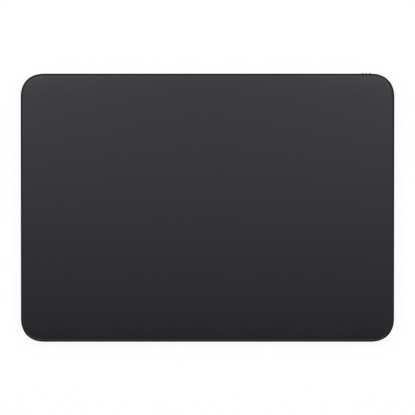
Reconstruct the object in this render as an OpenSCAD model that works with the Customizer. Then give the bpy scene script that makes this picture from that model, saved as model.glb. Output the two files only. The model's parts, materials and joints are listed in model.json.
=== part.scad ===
// Low wedge-shaped touch pad for a desk: a frosted glass plate that floats on four force
// sensors in a dark aluminium tray, with a charging port and a slide switch in its rear wall.
// Millimetres. Origin: on the desk, under the middle of the footprint.
// +X right, +Y towards the rear edge, +Z up.

/* [Body] */
// Overall width, left to right
body_w = 160; // [150:1:200]
// Overall depth, front to rear
body_d = 114.9; // [112:0.1:140]
// Height of the glass above the desk at the front edge
front_h = 4.9; // [4.8:0.1:6]
// Height of the glass above the desk at the rear edge
rear_h = 10.9; // [10.4:0.1:13]
// How far each corner's curve reaches along the sides
corner_reach = 10.3; // [8:0.1:14]
// Power of the corner's curve: 2 is a circle, more is squarer
corner_power = 2.3; // [2:0.05:3]
// Thickness of the tray's side walls
wall_t = 1.6; // [1.4:0.1:2]
// Thickness of the tray's floor
floor_t = 0.7; // [0.6:0.1:0.9]
// Rounding of the tray's lower edge
lower_edge_r = 1.2; // [0.6:0.1:1.5]
// Rim of metal that shows round the glass
rim_w = 0.3; // [0.25:0.05:0.6]
// Rounding of that rim
rim_r = 0.12; // [0.06:0.02:0.2]

/* [Bottom cover and feet] */
// Thickness of the bottom cover
cover_t = 0.9; // [0.8:0.05:1]
// Border of metal round the bottom cover
cover_inset = 2.4; // [2:0.1:4]
// Clearance round the bottom cover and round the feet
cover_gap = 0.15; // [0.1:0.05:0.3]
// Bevel on the cover's lower edge
cover_bevel = 0.2; // [0.1:0.05:0.3]
// Thickness of the adhesive under the floor and under the battery
glue_t = 0.1; // [0.05:0.05:0.2]
// Width of the adhesive border that holds the cover
glue_w = 6; // [3:0.5:10]
// Radius of a foot
foot_r = 5; // [4:0.5:7]
// How far the feet lift the cover off the desk
foot_proud = 0.6; // [0.5:0.05:0.8]
// How deep a foot sits in the cover
foot_sink = 0.4; // [0.3:0.05:0.5]
// Rounding of a foot's lower edge
foot_round = 0.35; // [0.2:0.05:0.45]
// Distance of a foot's centre from the sides
foot_inset = 13; // [11:0.5:20]

/* [Touch plate] */
// Thickness of the glass
glass_t = 0.8; // [0.7:0.05:0.9]
// Clearance left between the glass and the rim at the end of a tap
glass_gap = 0.15; // [0.1:0.05:0.3]
// Width of the rounding round the glass
glass_round_w = 1.2; // [0.6:0.1:2]
// How far that rounding falls
glass_round_drop = 0.3; // [0.15:0.05:0.4]
// Thickness of the adhesive film under the glass
film_t = 0.1; // [0.05:0.05:0.15]
// Thickness of the touch sensor board
sensor_t = 0.6; // [0.5:0.05:0.7]
// Clearance between the sensor board and the walls
sensor_gap = 0.8; // [0.6:0.1:1.5]
// Depth of a click
press_travel = 0.2; // [0.1:0.05:0.25]
// Clearance left under the plate at the end of a click
press_gap = 0.25; // [0.15:0.05:0.3]
// Travel of the tap that the haptic drive gives, each way
tap_travel = 0.1; // [0.05:0.05:0.15]

/* [Force sensors] */
// Distance of the sensors' buttons from the left and right sides
button_side = 22; // [20:0.5:26]
// Distance of the front buttons from the front edge
button_front = 16.5; // [16:0.5:22]
// Distance of the rear buttons from the rear edge
button_rear = 21.5; // [20:0.5:26]
// Radius of a load button
button_r = 2.6; // [2:0.1:3.2]
// Height of a load button
button_t = 0.35; // [0.3:0.05:0.5]
// Height of a gel pad
gel_t = 0.45; // [0.4:0.05:0.6]
// How far a gel pad reaches past its button
gel_lip = 0.4; // [0:0.1:0.8]
// Thickness of the flexure plates
flexure_t = 0.35; // [0.25:0.05:0.4]
// Width of a flexure's clamped base
flexure_base_w = 13; // [11:0.5:16]
// Length of a flexure's tongue, from its button to its base
tongue_l = 9; // [7:0.5:11]
// Width of a flexure's tongue
tongue_w = 6.4; // [5.6:0.2:8]

/* [Haptic drive] */
// Place of the pull bar's centre line, from the rear edge of the glass
pull_bar_y = -68.5; // [-70.5:0.5:-67.5]
// Length of the pull bar
pull_bar_l = 60; // [50:1:64]
// Width of the pull bar
pull_bar_w = 5; // [3:0.5:6]
// Clearance left between the pull bar and the pole faces at the end of a tap
pole_gap = 0.35; // [0.3:0.05:0.6]
// Height of the laminated cores
core_h = 1.2; // [1:0.1:1.4]
// Length of each core
core_l = 28; // [24:1:29]
// Distance between the two cores
core_gap = 4; // [2:0.5:6]
// Length of the cores' legs
core_leg_l = 7; // [5:0.5:7.5]
// Width of a core's middle leg
core_leg_w = 6; // [4:0.5:8]
// Width of the cores' backs and outer legs
core_back_w = 2.5; // [2:0.1:3]
// Thickness of a winding above and below its leg
winding_t = 0.6; // [0.4:0.05:0.7]
// Thickness of a winding beside its leg
winding_w = 4.5; // [3:0.5:5]
// Thickness of the drive's frame
drive_frame_t = 0.4; // [0.3:0.05:0.5]

/* [Battery] */
// Width of the battery pouch
battery_w = 88; // [70:1:90]
// Depth of the battery pouch
battery_d = 36; // [30:0.5:37]
// Distance of the battery's front edge from the rear face
battery_front = 51.5; // [50.5:0.5:52]
// Clearance left above the battery at the end of a click
battery_gap = 0.35; // [0.2:0.05:0.6]
// Length of the sealed end of the pouch, which carries its board
battery_tab_l = 5; // [4:0.5:6]
// Thickness of the sealed end
battery_tab_t = 0.5; // [0.4:0.1:1]
// Clearance between the battery and the logic board
battery_side_gap = 3.5; // [3:0.5:6]

/* [Boards and flat cables] */
// Width of the logic board
logic_w = 28; // [25:0.5:30]
// Depth of the logic board
logic_d = 46; // [42:0.5:48]
// Thickness of the logic board and the small boards
pcb_t = 0.8; // [0.6:0.1:1]
// Distance of the logic board from the right side
logic_side = 5.5; // [4:0.5:7]
// How far the logic board lies in front of the rear sensors' posts
logic_front = 4.5; // [2.5:0.5:6.5]
// Height of the logic board's stand-offs above the floor
logic_lift = 0.9; // [0.8:0.05:1.1]
// Thickness of the flat cables
flex_t = 0.15; // [0.1:0.05:0.2]
// Width of the flat cables
flex_w = 4; // [3:0.5:4]

/* [Charging port] */
// Inner width of the port
port_w = 8.34; // [8:0.02:9]
// Inner height of the port
port_h = 2.56; // [2.4:0.02:3]
// Thickness of the port's metal shell
port_shell_t = 0.3; // [0.2:0.05:0.4]
// Length of the port's shell
port_l = 7.4; // [6:0.1:8]
// How far the shell's mouth lies inside the rear face
port_recess = 0.3; // [0.1:0.05:0.6]
// Clearance between the shell and the tray
port_gap = 0.1; // [0.05:0.05:0.2]

/* [Power switch] */
// Place of the knob from the right side, switched on
knob_x = -11.9; // [-16:0.1:-11.5]
// Length of the knob
knob_l = 5; // [4:0.1:6]
// Height of the knob
knob_h = 2.2; // [1.8:0.1:2.6]
// How far the knob's ribs stand out of the rear face
knob_proud = 0.45; // [0.1:0.05:0.6]
// How far the knob's face lies inside the rear face
knob_recess = 0.2; // [0.1:0.05:0.5]
// Travel of the knob, from on to off
knob_travel = 3.5; // [2:0.1:4]
// Distance between the knob's ribs
rib_pitch = 1.5; // [1:0.1:1.8]
// Width of a rib
rib_w = 0.55; // [0.3:0.05:0.8]
// Clearance round the knob
knob_gap = 0.15; // [0.1:0.05:0.3]

/* [Screws] */
// Radius of a screw's shank
screw_r = 0.7; // [0.6:0.05:0.8]
// Radius of a screw's head
screw_head_r = 1.3; // [1.1:0.1:1.4]
// Height of a screw's head
screw_head_h = 0.45; // [0.35:0.05:0.45]
// Clearance between a shank and its hole
screw_gap = 0.08; // [0.05:0.01:0.12]

/* [Hidden] */
$fn = 48;
corner_steps = 12;
edge_step = 18;
rim_step = 45;
min_reach = 1;
past = 2;
snug = 0.03;

// Corners of the pad: name, side, end
corners = [
    ["front_left", -1, -1], ["front_right", 1, -1], ["rear_left", -1, 1], ["rear_right", 1, 1]
];

// Colours
glass_black = "#37383a";
metal_black = "#2a2b2d";
plastic_black = "#242527";
plastic_white = "#e4e4e2";
rubber_black = "#1c1c1d";
steel = "#b4b6b8";
dark_steel = "#5c5f63";
copper = "#b5713c";
gold = "#c9a349";
board_black = "#15181b";
board_green = "#1f4a35";
chip_black = "#202022";
flex_amber = "#8a5a1e";
pouch_grey = "#54575b";
film_clear = "#9a9c9e";
gel_clear = "#c6c8ca";
on_green = "#35b24a";

// The glass leans forward: the deck frame has its origin at the middle of the glass's upper face
tilt = atan((rear_h - front_h) / body_d);
deck_z = (front_h + rear_h) / 2;
deck_d = body_d / cos(tilt);

// Heights of the tray's floor
cover_top = foot_proud + cover_t;
floor_under = cover_top + glue_t;
floor_top = floor_under + floor_t;

// Rear wall
rear_y = body_d / 2;
wall_in_y = rear_y - wall_t;
rear_mid_z = (foot_proud + rear_h) / 2;

// The touch plate, counted down from the glass's upper face
glass_inset = rim_w + glass_gap + tap_travel;
sensor_inset = wall_t + sensor_gap;
film_depth = glass_t + film_t;
stack_t = film_depth + sensor_t;
press_room = press_travel + press_gap;
pocket_depth = glass_t + press_room;
touch_chip = [8, 6, 0.7];
touch_chip_pitch = 18;
touch_chip_front = 26;
touch_chip_count = 4;
small_part = [1.6, 0.8, 0.5];
small_part_pitch = 4.4;
small_part_count = 17;

// The force sensors, counted down from the glass's upper face
button_depth = stack_t + gel_t;
flexure_depth = button_depth + button_t;
seat_depth = flexure_depth + flexure_t;
tip_lip = 1;
tip_r = button_r + tip_lip;
base_margin = 0.4;
base_x0 = body_w / 2 - button_side + tongue_l;
base_x1 = body_w / 2 - wall_t - base_margin;
post_margin = 0.5;
post_w = flexure_base_w + 2 * post_margin;
rear_post_y0 = deck_d / 2 - button_rear - post_w / 2;
flexure_screw_l = 1;
flexure_screw_edge = 2.5;
neck_r = 1.28;
neck_set = 3.4;
neck_x = tongue_l - neck_set;
gauge = [4, 3, 0.06];

// The haptic drive, counted down from the glass's upper face
winding_depth = stack_t + press_room;
core_depth = winding_depth + winding_t;
core_under = core_depth + core_h;
drive_seat_depth = core_under + drive_frame_t;
pull_bar_reach = 0.15;
pull_bar_depth = core_under + pull_bar_reach;
pull_bar_mid = deck_d / 2 + pull_bar_y;
pole_y = pull_bar_mid + pull_bar_w / 2 + tap_travel + pole_gap;
core_x = (core_l + core_gap) / 2;
cores_end = core_x + core_l / 2;
coil_w = core_leg_w + 2 * winding_w;
coil_end_gap = 0.4;
drive_front_edge = 0.3;
drive_rear_edge = 0.4;
drive_frame_y0 = pole_y + drive_front_edge;
drive_frame_y1 = pole_y + core_leg_l + core_back_w + drive_rear_edge;
drive_ear = 3.4;
drive_frame_w = 2 * (cores_end + drive_ear);
drive_screw_x = cores_end + drive_ear / 2;
drive_screw_edge = 1.7;
drive_screw_ys = [drive_frame_y0 + drive_screw_edge, drive_frame_y1 - drive_screw_edge];
drive_screw_l = 1.1;

// The logic board
logic_x1 = body_w / 2 - logic_side;
logic_x0 = logic_x1 - logic_w;
logic_y1 = rear_post_y0 - logic_front;
logic_y0 = logic_y1 - logic_d;
logic_under = floor_top + logic_lift;
logic_top = logic_under + pcb_t;
logic_corner_r = 1;
logic_hole_inset = 2.4;
logic_screw_l = 1.6;
standoff_wall = 0.3;
can = [11, 13, 1.3];
can_wall = 0.2;
chip_side = 7;
chip_left = chip_side;
chip_right = logic_w - chip_side;
can_at = [chip_right, 15.5];
processor = [7, 7, 0.9];
processor_at = [chip_left, 17];
radio = [5, 5, 0.7];
charger = [5, 4, 0.8];
charger_at = [chip_left, logic_d - 7];
memory = [4, 4, 1];
memory_at = [chip_right, logic_d - 9];
part_pitch = 2.2;
part_row = [-2, -1, 0, 1, 2];
front_row_at = [chip_left, 11];
rear_row_at = [chip_right, logic_d - 14];
aerial = [16, 2.4, 0.2];
aerial_leg = [0.8, 2.4, 0.7];
aerial_front = 4.8;
aerial_window_side = 6;
aerial_window = [-3, 6];

// The battery, on its adhesive
battery_z0 = floor_top + glue_t;
battery_y0 = rear_y - battery_front;
battery_y1 = battery_y0 + battery_d;
battery_top = deck_z + battery_y0 * tan(tilt) - stack_t / cos(tilt) - press_travel - battery_gap;
battery_x1 = logic_x0 - battery_side_gap - battery_tab_l;
battery_x0 = battery_x1 - battery_w;
battery_corner_r = 2;
battery_rib = [0.8, 0.8];
battery_rib_gap = 0.3;
battery_board_edge = 0.4;
battery_glue_w = 9;

// Sockets and flat cables
plug_w = 2.4;
plug_edge = 0.4;
plug_gap = 0.05;
plug_top_h = 0.8;
battery_plug_set = 10;
battery_plug_y = logic_y1 - battery_plug_set;
sensor_plug_set = 18;
sensor_plug_y = logic_y1 - sensor_plug_set;
drive_plug_y = (drive_screw_ys[0] + drive_screw_ys[1]) / 2;
drive_flex_w = 2.2;
port_plug_set = 5;
port_plug_x = logic_x0 + port_plug_set;
switch_plug_x = base_x0 - 2 * post_margin - flex_w;
flex_slope = 1.6;

// The charging port
shell_w = port_w + 2 * port_shell_t;
shell_h = port_h + 2 * port_shell_t;
port_mouth_y = rear_y - port_recess;
port_back_y = port_mouth_y - port_l;
port_board_top = rear_mid_z - shell_h / 2;
port_board_under = port_board_top - pcb_t;
port_board_y0 = port_back_y - plug_w - 2 * plug_edge;
port_board_y1 = wall_in_y - plug_edge;
port_ear = 3.6;
port_strap_t = 0.4;
port_strap_l = 3.4;
port_strap_set = 1;
port_strap_y = port_back_y + port_strap_set + port_strap_l / 2;
port_strap_w = shell_w + 2 * port_strap_t + 2 * port_ear;
port_board_w = port_strap_w + 2 * snug;
port_screw_x = shell_w / 2 + port_strap_t + port_ear / 2;
port_screw_bite = 0.8;
port_screw_l = port_strap_t + pcb_t + port_screw_bite;
tongue_t = 0.7;
tongue_side_gap = 0.83;
tongue_base_l = 2.2;
tongue_short = 0.9;
contact_count = 12;
contact_pitch = 0.5;
contact = [0.26, 3.4, 0.06];
contact_end = 0.4;

// The power switch, from the rear face inwards
slot_l = knob_l + knob_travel + 2 * knob_gap;
slot_h = knob_h + 2 * knob_gap;
knob_mid = body_w / 2 + knob_x;
slot_x = knob_mid - knob_travel / 2;
rib_end = 0.3;
flange_t = 0.3;
flange_lip = 0.4;
flange_gap = 0.1;
flange_h = slot_h + 2 * flange_lip;
flange_x0 = knob_mid - knob_l / 2 - flange_lip;
flange_x1 = knob_mid + knob_l / 2 + flange_lip;
flange_y0 = wall_in_y + flange_gap / 2;
flange_y1 = flange_y0 + flange_t;
flag_x0 = slot_x - slot_l / 2 - flange_lip;
track_depth = flange_t + flange_gap;
track_x0 = flag_x0 - knob_travel - knob_gap;
track_x1 = flange_x1 + knob_gap;
track_h = flange_h + 2 * flange_gap;
guide_t = 0.9;
guide_gap = 0.1;
guide_edge = 0.6;
guide_x0 = track_x0 - guide_edge;
guide_x1 = track_x1 + guide_edge;
guide_h = track_h + 2 * guide_edge;
guide_y0 = wall_in_y - guide_t;
stem_w = 2;
stem_h = 1;
stem_gap = 0.1;
lever = [3.4, 0.7, 2.4];
lever_pin = [1, 0.8, 1];
lever_gap = 0.1;
lever_y1 = guide_y0 - lever_gap;
lever_y0 = lever_y1 - lever[1];
stem_y0 = lever_y0 + lever_gap;
box_end = 2.2;
box_l = lever_pin[0] + knob_travel + 2 * box_end;
box_h = 3.4;
box_y1 = lever_y0 - lever_gap;
box_wall = 0.4;
box_y0 = box_y1 - lever_pin[1] - 2 * box_wall;
switch_board_y0 = box_y0 - pcb_t;
switch_board_edge = 1;
switch_board_w = box_l + 2 * switch_board_edge;
bracket_t = 0.4;
bracket_lift = 1.2;
bracket_foot_l = 4.6;
bracket_y1 = switch_board_y0;
bracket_y0 = bracket_y1 - bracket_t - bracket_foot_l;
bracket_z = floor_top + bracket_lift;
bracket_screw_inset = 0.6;
bracket_screw_pitch = box_l - 2 * bracket_screw_inset;
bracket_screw_y = bracket_y0 + bracket_foot_l / 2;
bracket_screw_l = 1.4;

// Outlines and helpers

// One quarter of a corner's curve, from the side to the end
function corner_curve(reach) = [
    for (i = [0 : corner_steps])
        let (a = 90 * i / corner_steps)
        [reach * pow(cos(a), 2 / corner_power), reach * pow(sin(a), 2 / corner_power)]
];

// A rectangle w by d with those corners, counter-clockwise
function outline(w, d, reach) =
    let (c = corner_curve(reach), x = w / 2 - reach, y = d / 2 - reach)
    concat(
        [for (i = [0 : corner_steps]) [x + c[i][0], y + c[i][1]]],
        [for (i = [corner_steps : -1 : 0]) [-x - c[i][0], y + c[i][1]]],
        [for (i = [0 : corner_steps]) [-x - c[i][0], -y - c[i][1]]],
        [for (i = [corner_steps : -1 : 0]) [x + c[i][0], -y - c[i][1]]]
    );

// The body's outline, taken in by inset
function plan_points(inset, d) =
    outline(body_w - 2 * inset, d - 2 * inset, max(corner_reach - inset, min_reach));

// The same at a height above the desk, and at a depth under the glass's upper face
function level_ring(inset, z) = [for (p = plan_points(inset, body_d)) [p[0], p[1], z]];
function deck_ring(inset, depth) = [
    for (p = plan_points(inset, deck_d))
        [p[0], p[1] * cos(tilt) + depth * sin(tilt), deck_z + p[1] * sin(tilt) - depth * cos(tilt)]
];

module plan(inset, d = body_d) {
    polygon(plan_points(inset, d));
}

// A closed skin through rings of points, from the lowest up
module loft(rings) {
    n = len(rings[0]);
    last = (len(rings) - 1) * n;
    sides = [
        for (j = [0 : n : last - n], i = [0 : n - 1])
            let (k = (i + 1) % n)
            each [[j + i, j + n + i, j + n + k], [j + i, j + n + k, j + k]]
    ];
    polyhedron(
        [for (r = rings) each r],
        concat([[for (i = [0 : n - 1]) i]], sides, [[for (i = [n - 1 : -1 : 0]) last + i]])
    );
}

// A rectangle with round ends
module stadium(w, h) {
    square([w - h, h], center = true);
    for (s = [-1, 1]) translate([s * (w - h) / 2, 0]) circle(d = h);
}

// A rectangle with round corners
module round_rect(w, d, r) {
    square([w - 2 * r, d], center = true);
    square([w, d - 2 * r], center = true);
    for (sx = [-1, 1], sy = [-1, 1]) translate([sx * (w / 2 - r), sy * (d / 2 - r)]) circle(r);
}

// A box from its two corners
module block(low, high) {
    translate(low) cube(high - low);
}

// Places its children on the leaning plane of the glass
module on_deck() {
    translate([0, 0, deck_z]) rotate([tilt, 0, 0]) children();
}

// Stands an outline upright at x and z and pushes it towards the rear, from y0 to y1
module to_rear(x, z, y0, y1) {
    translate([x, y0, z]) rotate([90, 0, 180]) linear_extrude(y1 - y0) children();
}

// Lays a cable's side view out along X, flex_width wide, from y
module ribbon(y, width, points) {
    translate([0, y + width, 0]) rotate([90, 0, 0]) linear_extrude(width) polygon(points);
}

// A screw with its head's seat at z = 0 and its shank downwards
module screw(l) {
    difference() {
        union() {
            cylinder(r = screw_head_r, h = screw_head_h);
            translate([0, 0, -l]) cylinder(r = screw_r, h = l);
        }
        translate([0, 0, screw_head_h / 2]) cylinder(r = screw_r, h = screw_head_h, $fn = 6);
    }
}

// The hole for such a screw, past both ends
module screw_hole(l) {
    translate([0, 0, -l - screw_gap]) cylinder(r = screw_r + screw_gap, h = l + past);
}

// Tray

function button_x(c) = c[1] * (body_w / 2 - button_side);
function button_y(c) = c[2] < 0 ? -deck_d / 2 + button_front : deck_d / 2 - button_rear;

// The tray's outside, with its rounded lower edge and rim
module tray_blank() {
    loft(concat(
        [
            for (a = [0 : edge_step : 90])
                level_ring(lower_edge_r * (1 - sin(a)), foot_proud + lower_edge_r * (1 - cos(a)))
        ],
        [for (a = [0 : rim_step : 90]) deck_ring(rim_r * (1 - cos(a)), rim_r * (1 - sin(a)))]
    ));
}

// The pocket for the glass, the inside, and the seat of the bottom cover
module tray_hollow() {
    on_deck() translate([0, 0, -pocket_depth]) linear_extrude(rear_h) plan(rim_w, deck_d);
    translate([0, 0, floor_top]) linear_extrude(rear_h) plan(wall_t);
    translate([0, 0, foot_proud - past]) linear_extrude(floor_under - foot_proud + past)
        plan(cover_inset - cover_gap);
}

// A round stand-off that rises from the floor
module standoff(at, top) {
    foot_z = floor_under + floor_t / 2;
    translate([at[0], at[1], foot_z]) cylinder(r = screw_head_r + standoff_wall, h = top - foot_z);
}

// Posts under the flexures and the haptic drive, cut level with the leaning glass
module leaning_posts() {
    intersection() {
        translate([0, 0, floor_under + floor_t / 2]) linear_extrude(rear_h) plan(wall_t / 2);
        on_deck() {
            for (c = corners)
                translate([c[1] > 0 ? base_x0 : -body_w / 2, button_y(c) - post_w / 2, -seat_depth - rear_h])
                    cube([body_w / 2 - base_x0, post_w, rear_h]);
            for (s = [-1, 1], y = drive_screw_ys)
                translate([s * drive_screw_x, y, -drive_seat_depth - rear_h])
                    cylinder(r = drive_ear / 2, h = rear_h);
        }
    }
}

// Low ribs along the battery's long sides
module battery_ribs() {
    x0 = battery_x0 + battery_corner_r;
    x1 = battery_x1 - battery_corner_r;
    ys = [battery_y0 - battery_rib_gap - battery_rib[0], battery_y1 + battery_rib_gap];
    for (y = ys)
        block([x0, y, floor_under + floor_t / 2], [x1, y + battery_rib[0], floor_top + battery_rib[1]]);
}

// Room over the posts for the flexures' bases and under their tongues
module flexure_room() {
    tip_room = tip_r + post_margin;
    on_deck() for (c = corners)
        translate([button_x(c), button_y(c), -seat_depth]) mirror([c[1] > 0 ? 0 : 1, 0, 0]) {
            translate([tongue_l, -flexure_base_w / 2 - base_margin / 2, 0])
                cube([base_x1 - base_x0 + base_margin / 2, flexure_base_w + base_margin, rear_h]);
            translate([-tip_room, -tip_room, -press_room])
                cube([tongue_l + tip_room, 2 * tip_room, rear_h]);
        }
}

// Room under the haptic drive's windings
module winding_room() {
    room = [coil_w + 2 * coil_end_gap, core_leg_l, winding_t];
    on_deck() for (s = [-1, 1])
        translate([s * core_x - room[0] / 2, pole_y, -drive_seat_depth - winding_t]) cube(room);
}

// Holes for all the screws that go into the tray
module tray_holes() {
    on_deck() {
        for (c = corners) at_flexure_screws(c) screw_hole(flexure_screw_l);
        at_drive_screws() screw_hole(drive_screw_l);
    }
    at_logic_screws() screw_hole(logic_screw_l);
    at_port_screws() screw_hole(port_screw_l);
    at_switch_screws() screw_hole(bracket_screw_l);
}

// Openings in the rear wall for the port and the switch, with the track of the knob's flange
module rear_openings() {
    to_rear(0, rear_mid_z, wall_in_y - past, rear_y + past)
        stadium(shell_w + 2 * port_gap, shell_h + 2 * port_gap);
    to_rear(slot_x, rear_mid_z, wall_in_y - past, rear_y + past) stadium(slot_l, slot_h);
    block(
        [track_x0, wall_in_y - past, rear_mid_z - track_h / 2],
        [track_x1, wall_in_y + track_depth, rear_mid_z + track_h / 2]
    );
    block(
        [guide_x0 - guide_gap, guide_y0 - past, rear_mid_z - guide_h / 2 - guide_gap],
        [guide_x1 + guide_gap, wall_in_y, rear_mid_z + guide_h / 2 + guide_gap]
    );
}

// A window in the floor under the antenna, which the plastic cover closes
module antenna_window() {
    block(
        [logic_x0 + aerial_window_side, logic_y0 + aerial_window[0], floor_under - past],
        [logic_x1 - aerial_window_side, logic_y0 + aerial_window[1], floor_top + past]
    );
}

module enclosure() {
    color(metal_black) difference() {
        union() {
            difference() {
                tray_blank();
                tray_hollow();
            }
            leaning_posts();
            for (p = logic_holes()) standoff(p, logic_under);
            for (s = [-1, 1]) standoff([s * port_screw_x, port_strap_y], port_board_under);
            for (s = [-1, 1]) standoff([slot_x + s * bracket_screw_pitch / 2, bracket_screw_y], bracket_z);
            battery_ribs();
        }
        flexure_room();
        winding_room();
        tray_holes();
        rear_openings();
        antenna_window();
    }
}

// Bottom cover and feet

function foot_at(c) = [c[1] * (body_w / 2 - foot_inset), c[2] * (body_d / 2 - foot_inset)];

module bottom_cover() {
    color(plastic_black) difference() {
        loft([
            level_ring(cover_inset + cover_bevel, foot_proud),
            level_ring(cover_inset, foot_proud + cover_bevel),
            level_ring(cover_inset, cover_top)
        ]);
        for (c = corners) translate(concat(foot_at(c), [foot_proud - past]))
            cylinder(r = foot_r + cover_gap, h = past + foot_sink);
    }
}

module cover_adhesive() {
    color(film_clear) translate([0, 0, cover_top]) linear_extrude(glue_t) difference() {
        plan(cover_inset + cover_gap);
        plan(cover_inset + cover_gap + glue_w);
    }
}

module foot(c) {
    color(rubber_black) translate(foot_at(c)) rotate_extrude() {
        square([foot_r - foot_round, foot_proud + foot_sink]);
        translate([0, foot_round]) square([foot_r, foot_proud + foot_sink - foot_round]);
        translate([foot_r - foot_round, foot_round]) circle(foot_round);
    }
}

// Touch plate

module touch_glass() {
    color(glass_black) loft(concat(
        [deck_ring(glass_inset, glass_t)],
        [
            for (a = [90 : -edge_step : 0])
                deck_ring(glass_inset + glass_round_w * (1 - sin(a)), glass_round_drop * (1 - cos(a)))
        ]
    ));
}

module glass_adhesive() {
    color(film_clear) on_deck()
        translate([0, 0, -film_depth]) linear_extrude(film_t) plan(sensor_inset, deck_d);
}

module sensor_board() {
    color(board_green) on_deck()
        translate([0, 0, -stack_t]) linear_extrude(sensor_t) plan(sensor_inset, deck_d);
}

// A row of like parts across the underside of the sensor board
module sensor_row(part, count, pitch, y) {
    x0 = -(count - 1) / 2 * pitch - part[0] / 2;
    for (i = [0 : count - 1])
        translate([x0 + i * pitch, y - part[1] / 2, -stack_t - part[2]]) cube(part);
}

// Touch controllers and their small parts on the underside of the sensor board
module sensor_chips() {
    y = -deck_d / 2 + touch_chip_front;
    color(chip_black) on_deck() {
        sensor_row(touch_chip, touch_chip_count, touch_chip_pitch, y);
        sensor_row(small_part, small_part_count, small_part_pitch, y + touch_chip[1]);
    }
}

// Steel bar under the sensor board, which the haptic drive pulls
module pull_bar() {
    color(steel) on_deck() block(
        [-pull_bar_l / 2, pull_bar_mid - pull_bar_w / 2, -pull_bar_depth],
        [pull_bar_l / 2, pull_bar_mid + pull_bar_w / 2, -stack_t]
    );
}

module gel_pads() {
    color(gel_clear) on_deck() for (c = corners)
        translate([button_x(c), button_y(c), -button_depth]) cylinder(r = button_r + gel_lip, h = gel_t);
}

// Force sensors

module load_buttons() {
    color(dark_steel) on_deck() for (c = corners)
        translate([button_x(c), button_y(c), -flexure_depth]) cylinder(r = button_r, h = button_t);
}

module at_flexure_screws(c) {
    x = c[1] * (base_x0 + base_x1) / 2;
    side = flexure_base_w / 2 - flexure_screw_edge;
    for (s = [-1, 1]) translate([x, button_y(c) + s * side, -flexure_depth]) children();
}

// A leaf of spring steel: a base on its post, and a necked tongue that ends under the button
module flexure(c) {
    at = [button_x(c), button_y(c), -seat_depth];
    color(steel) on_deck() difference() {
        translate(at) mirror([c[1] > 0 ? 0 : 1, 0, 0]) linear_extrude(flexure_t) {
            circle(tip_r);
            translate([0, -tongue_w / 2]) square([tongue_l + base_margin, tongue_w]);
            translate([tongue_l, -flexure_base_w / 2]) square([base_x1 - base_x0, flexure_base_w]);
        }
        for (s = [-1, 1])
            translate(at + [c[1] * neck_x, s * tongue_w / 2, -past])
                cylinder(r = neck_r, h = flexure_t + 2 * past);
        at_flexure_screws(c) screw_hole(flexure_screw_l);
    }
}

// Films that read how far the tongues bend
module strain_gauges() {
    color(flex_amber) on_deck() for (c = corners)
        translate([button_x(c) + c[1] * neck_x, button_y(c), -flexure_depth + gauge[2] / 2])
            cube(gauge, center = true);
}

module flexure_screws() {
    color(dark_steel) on_deck() for (c = corners) at_flexure_screws(c) screw(flexure_screw_l);
}

// Haptic drive

module at_drive_screws() {
    for (s = [-1, 1], y = drive_screw_ys) translate([s * drive_screw_x, y, -core_under]) children();
}

// Steel plate that carries the two cores, with a window under each winding
module drive_frame() {
    window_w = coil_w + 2 * coil_end_gap;
    color(dark_steel) on_deck() difference() {
        block(
            [-drive_frame_w / 2, drive_frame_y0, -drive_seat_depth],
            [drive_frame_w / 2, drive_frame_y1, -core_under]
        );
        for (s = [-1, 1])
            translate([s * core_x - window_w / 2, pole_y - past, -drive_seat_depth - past])
                cube([window_w, core_leg_l + past, drive_frame_t + 2 * past]);
        at_drive_screws() screw_hole(drive_screw_l);
    }
}

// An E-shaped stack of laminations with its legs towards the pull bar
module drive_core(s) {
    leg_l = core_leg_l + core_back_w / 2;
    color(dark_steel) on_deck() translate([s * core_x - core_l / 2, pole_y, -core_under]) {
        translate([0, core_leg_l, 0]) cube([core_l, core_back_w, core_h]);
        for (x = [0, core_l - core_back_w]) translate([x, 0, 0]) cube([core_back_w, leg_l, core_h]);
        translate([(core_l - core_leg_w) / 2, 0, 0]) cube([core_leg_w, leg_l, core_h]);
    }
}

// The copper winding round a core's middle leg
module drive_coil(s) {
    color(copper) on_deck()
        translate([s * core_x, pole_y + coil_end_gap, -core_depth - core_h / 2]) rotate([-90, 0, 0])
            linear_extrude(core_leg_l - 2 * coil_end_gap) difference() {
                round_rect(coil_w, core_h + 2 * winding_t, winding_t);
                square([core_leg_w + 2 * snug, core_h + 2 * snug], center = true);
            }
}

module drive_screws() {
    color(dark_steel) on_deck() at_drive_screws() screw(drive_screw_l);
}

// Battery

module battery_pouch() {
    color(pouch_grey) {
        translate([battery_x0 + battery_w / 2, battery_y0 + battery_d / 2, battery_z0])
            linear_extrude(battery_top - battery_z0) round_rect(battery_w, battery_d, battery_corner_r);
        block(
            [battery_x1 - battery_corner_r, battery_y0 + battery_corner_r, battery_z0],
            [battery_x1 + battery_tab_l, battery_y1 - battery_corner_r, battery_z0 + battery_tab_t]
        );
    }
}

// The board that guards the cell, on the pouch's sealed end
module battery_board() {
    z = battery_z0 + battery_tab_t;
    edge = battery_board_edge;
    color(board_green) block(
        [battery_x1 + edge, battery_y0 + battery_corner_r + edge, z],
        [battery_x1 + battery_tab_l - edge, battery_y1 - battery_corner_r - edge, z + pcb_t]
    );
}

module battery_adhesive() {
    x0 = battery_x0 + battery_corner_r;
    x1 = battery_x1 - battery_corner_r;
    color(film_clear) for (s = [-1, 1]) {
        y = battery_y0 + battery_d / 2 + s * battery_glue_w;
        block([x0, y - battery_glue_w / 2, floor_top], [x1, y + battery_glue_w / 2, battery_z0]);
    }
}

// Logic board

function logic_holes() = [
    for (x = [logic_x0 + logic_hole_inset, logic_x1 - logic_hole_inset])
        for (y = [logic_y0 + logic_hole_inset, logic_y1 - logic_hole_inset]) [x, y]
];

module at_logic_screws() {
    for (p = logic_holes()) translate([p[0], p[1], logic_top]) children();
}

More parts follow.
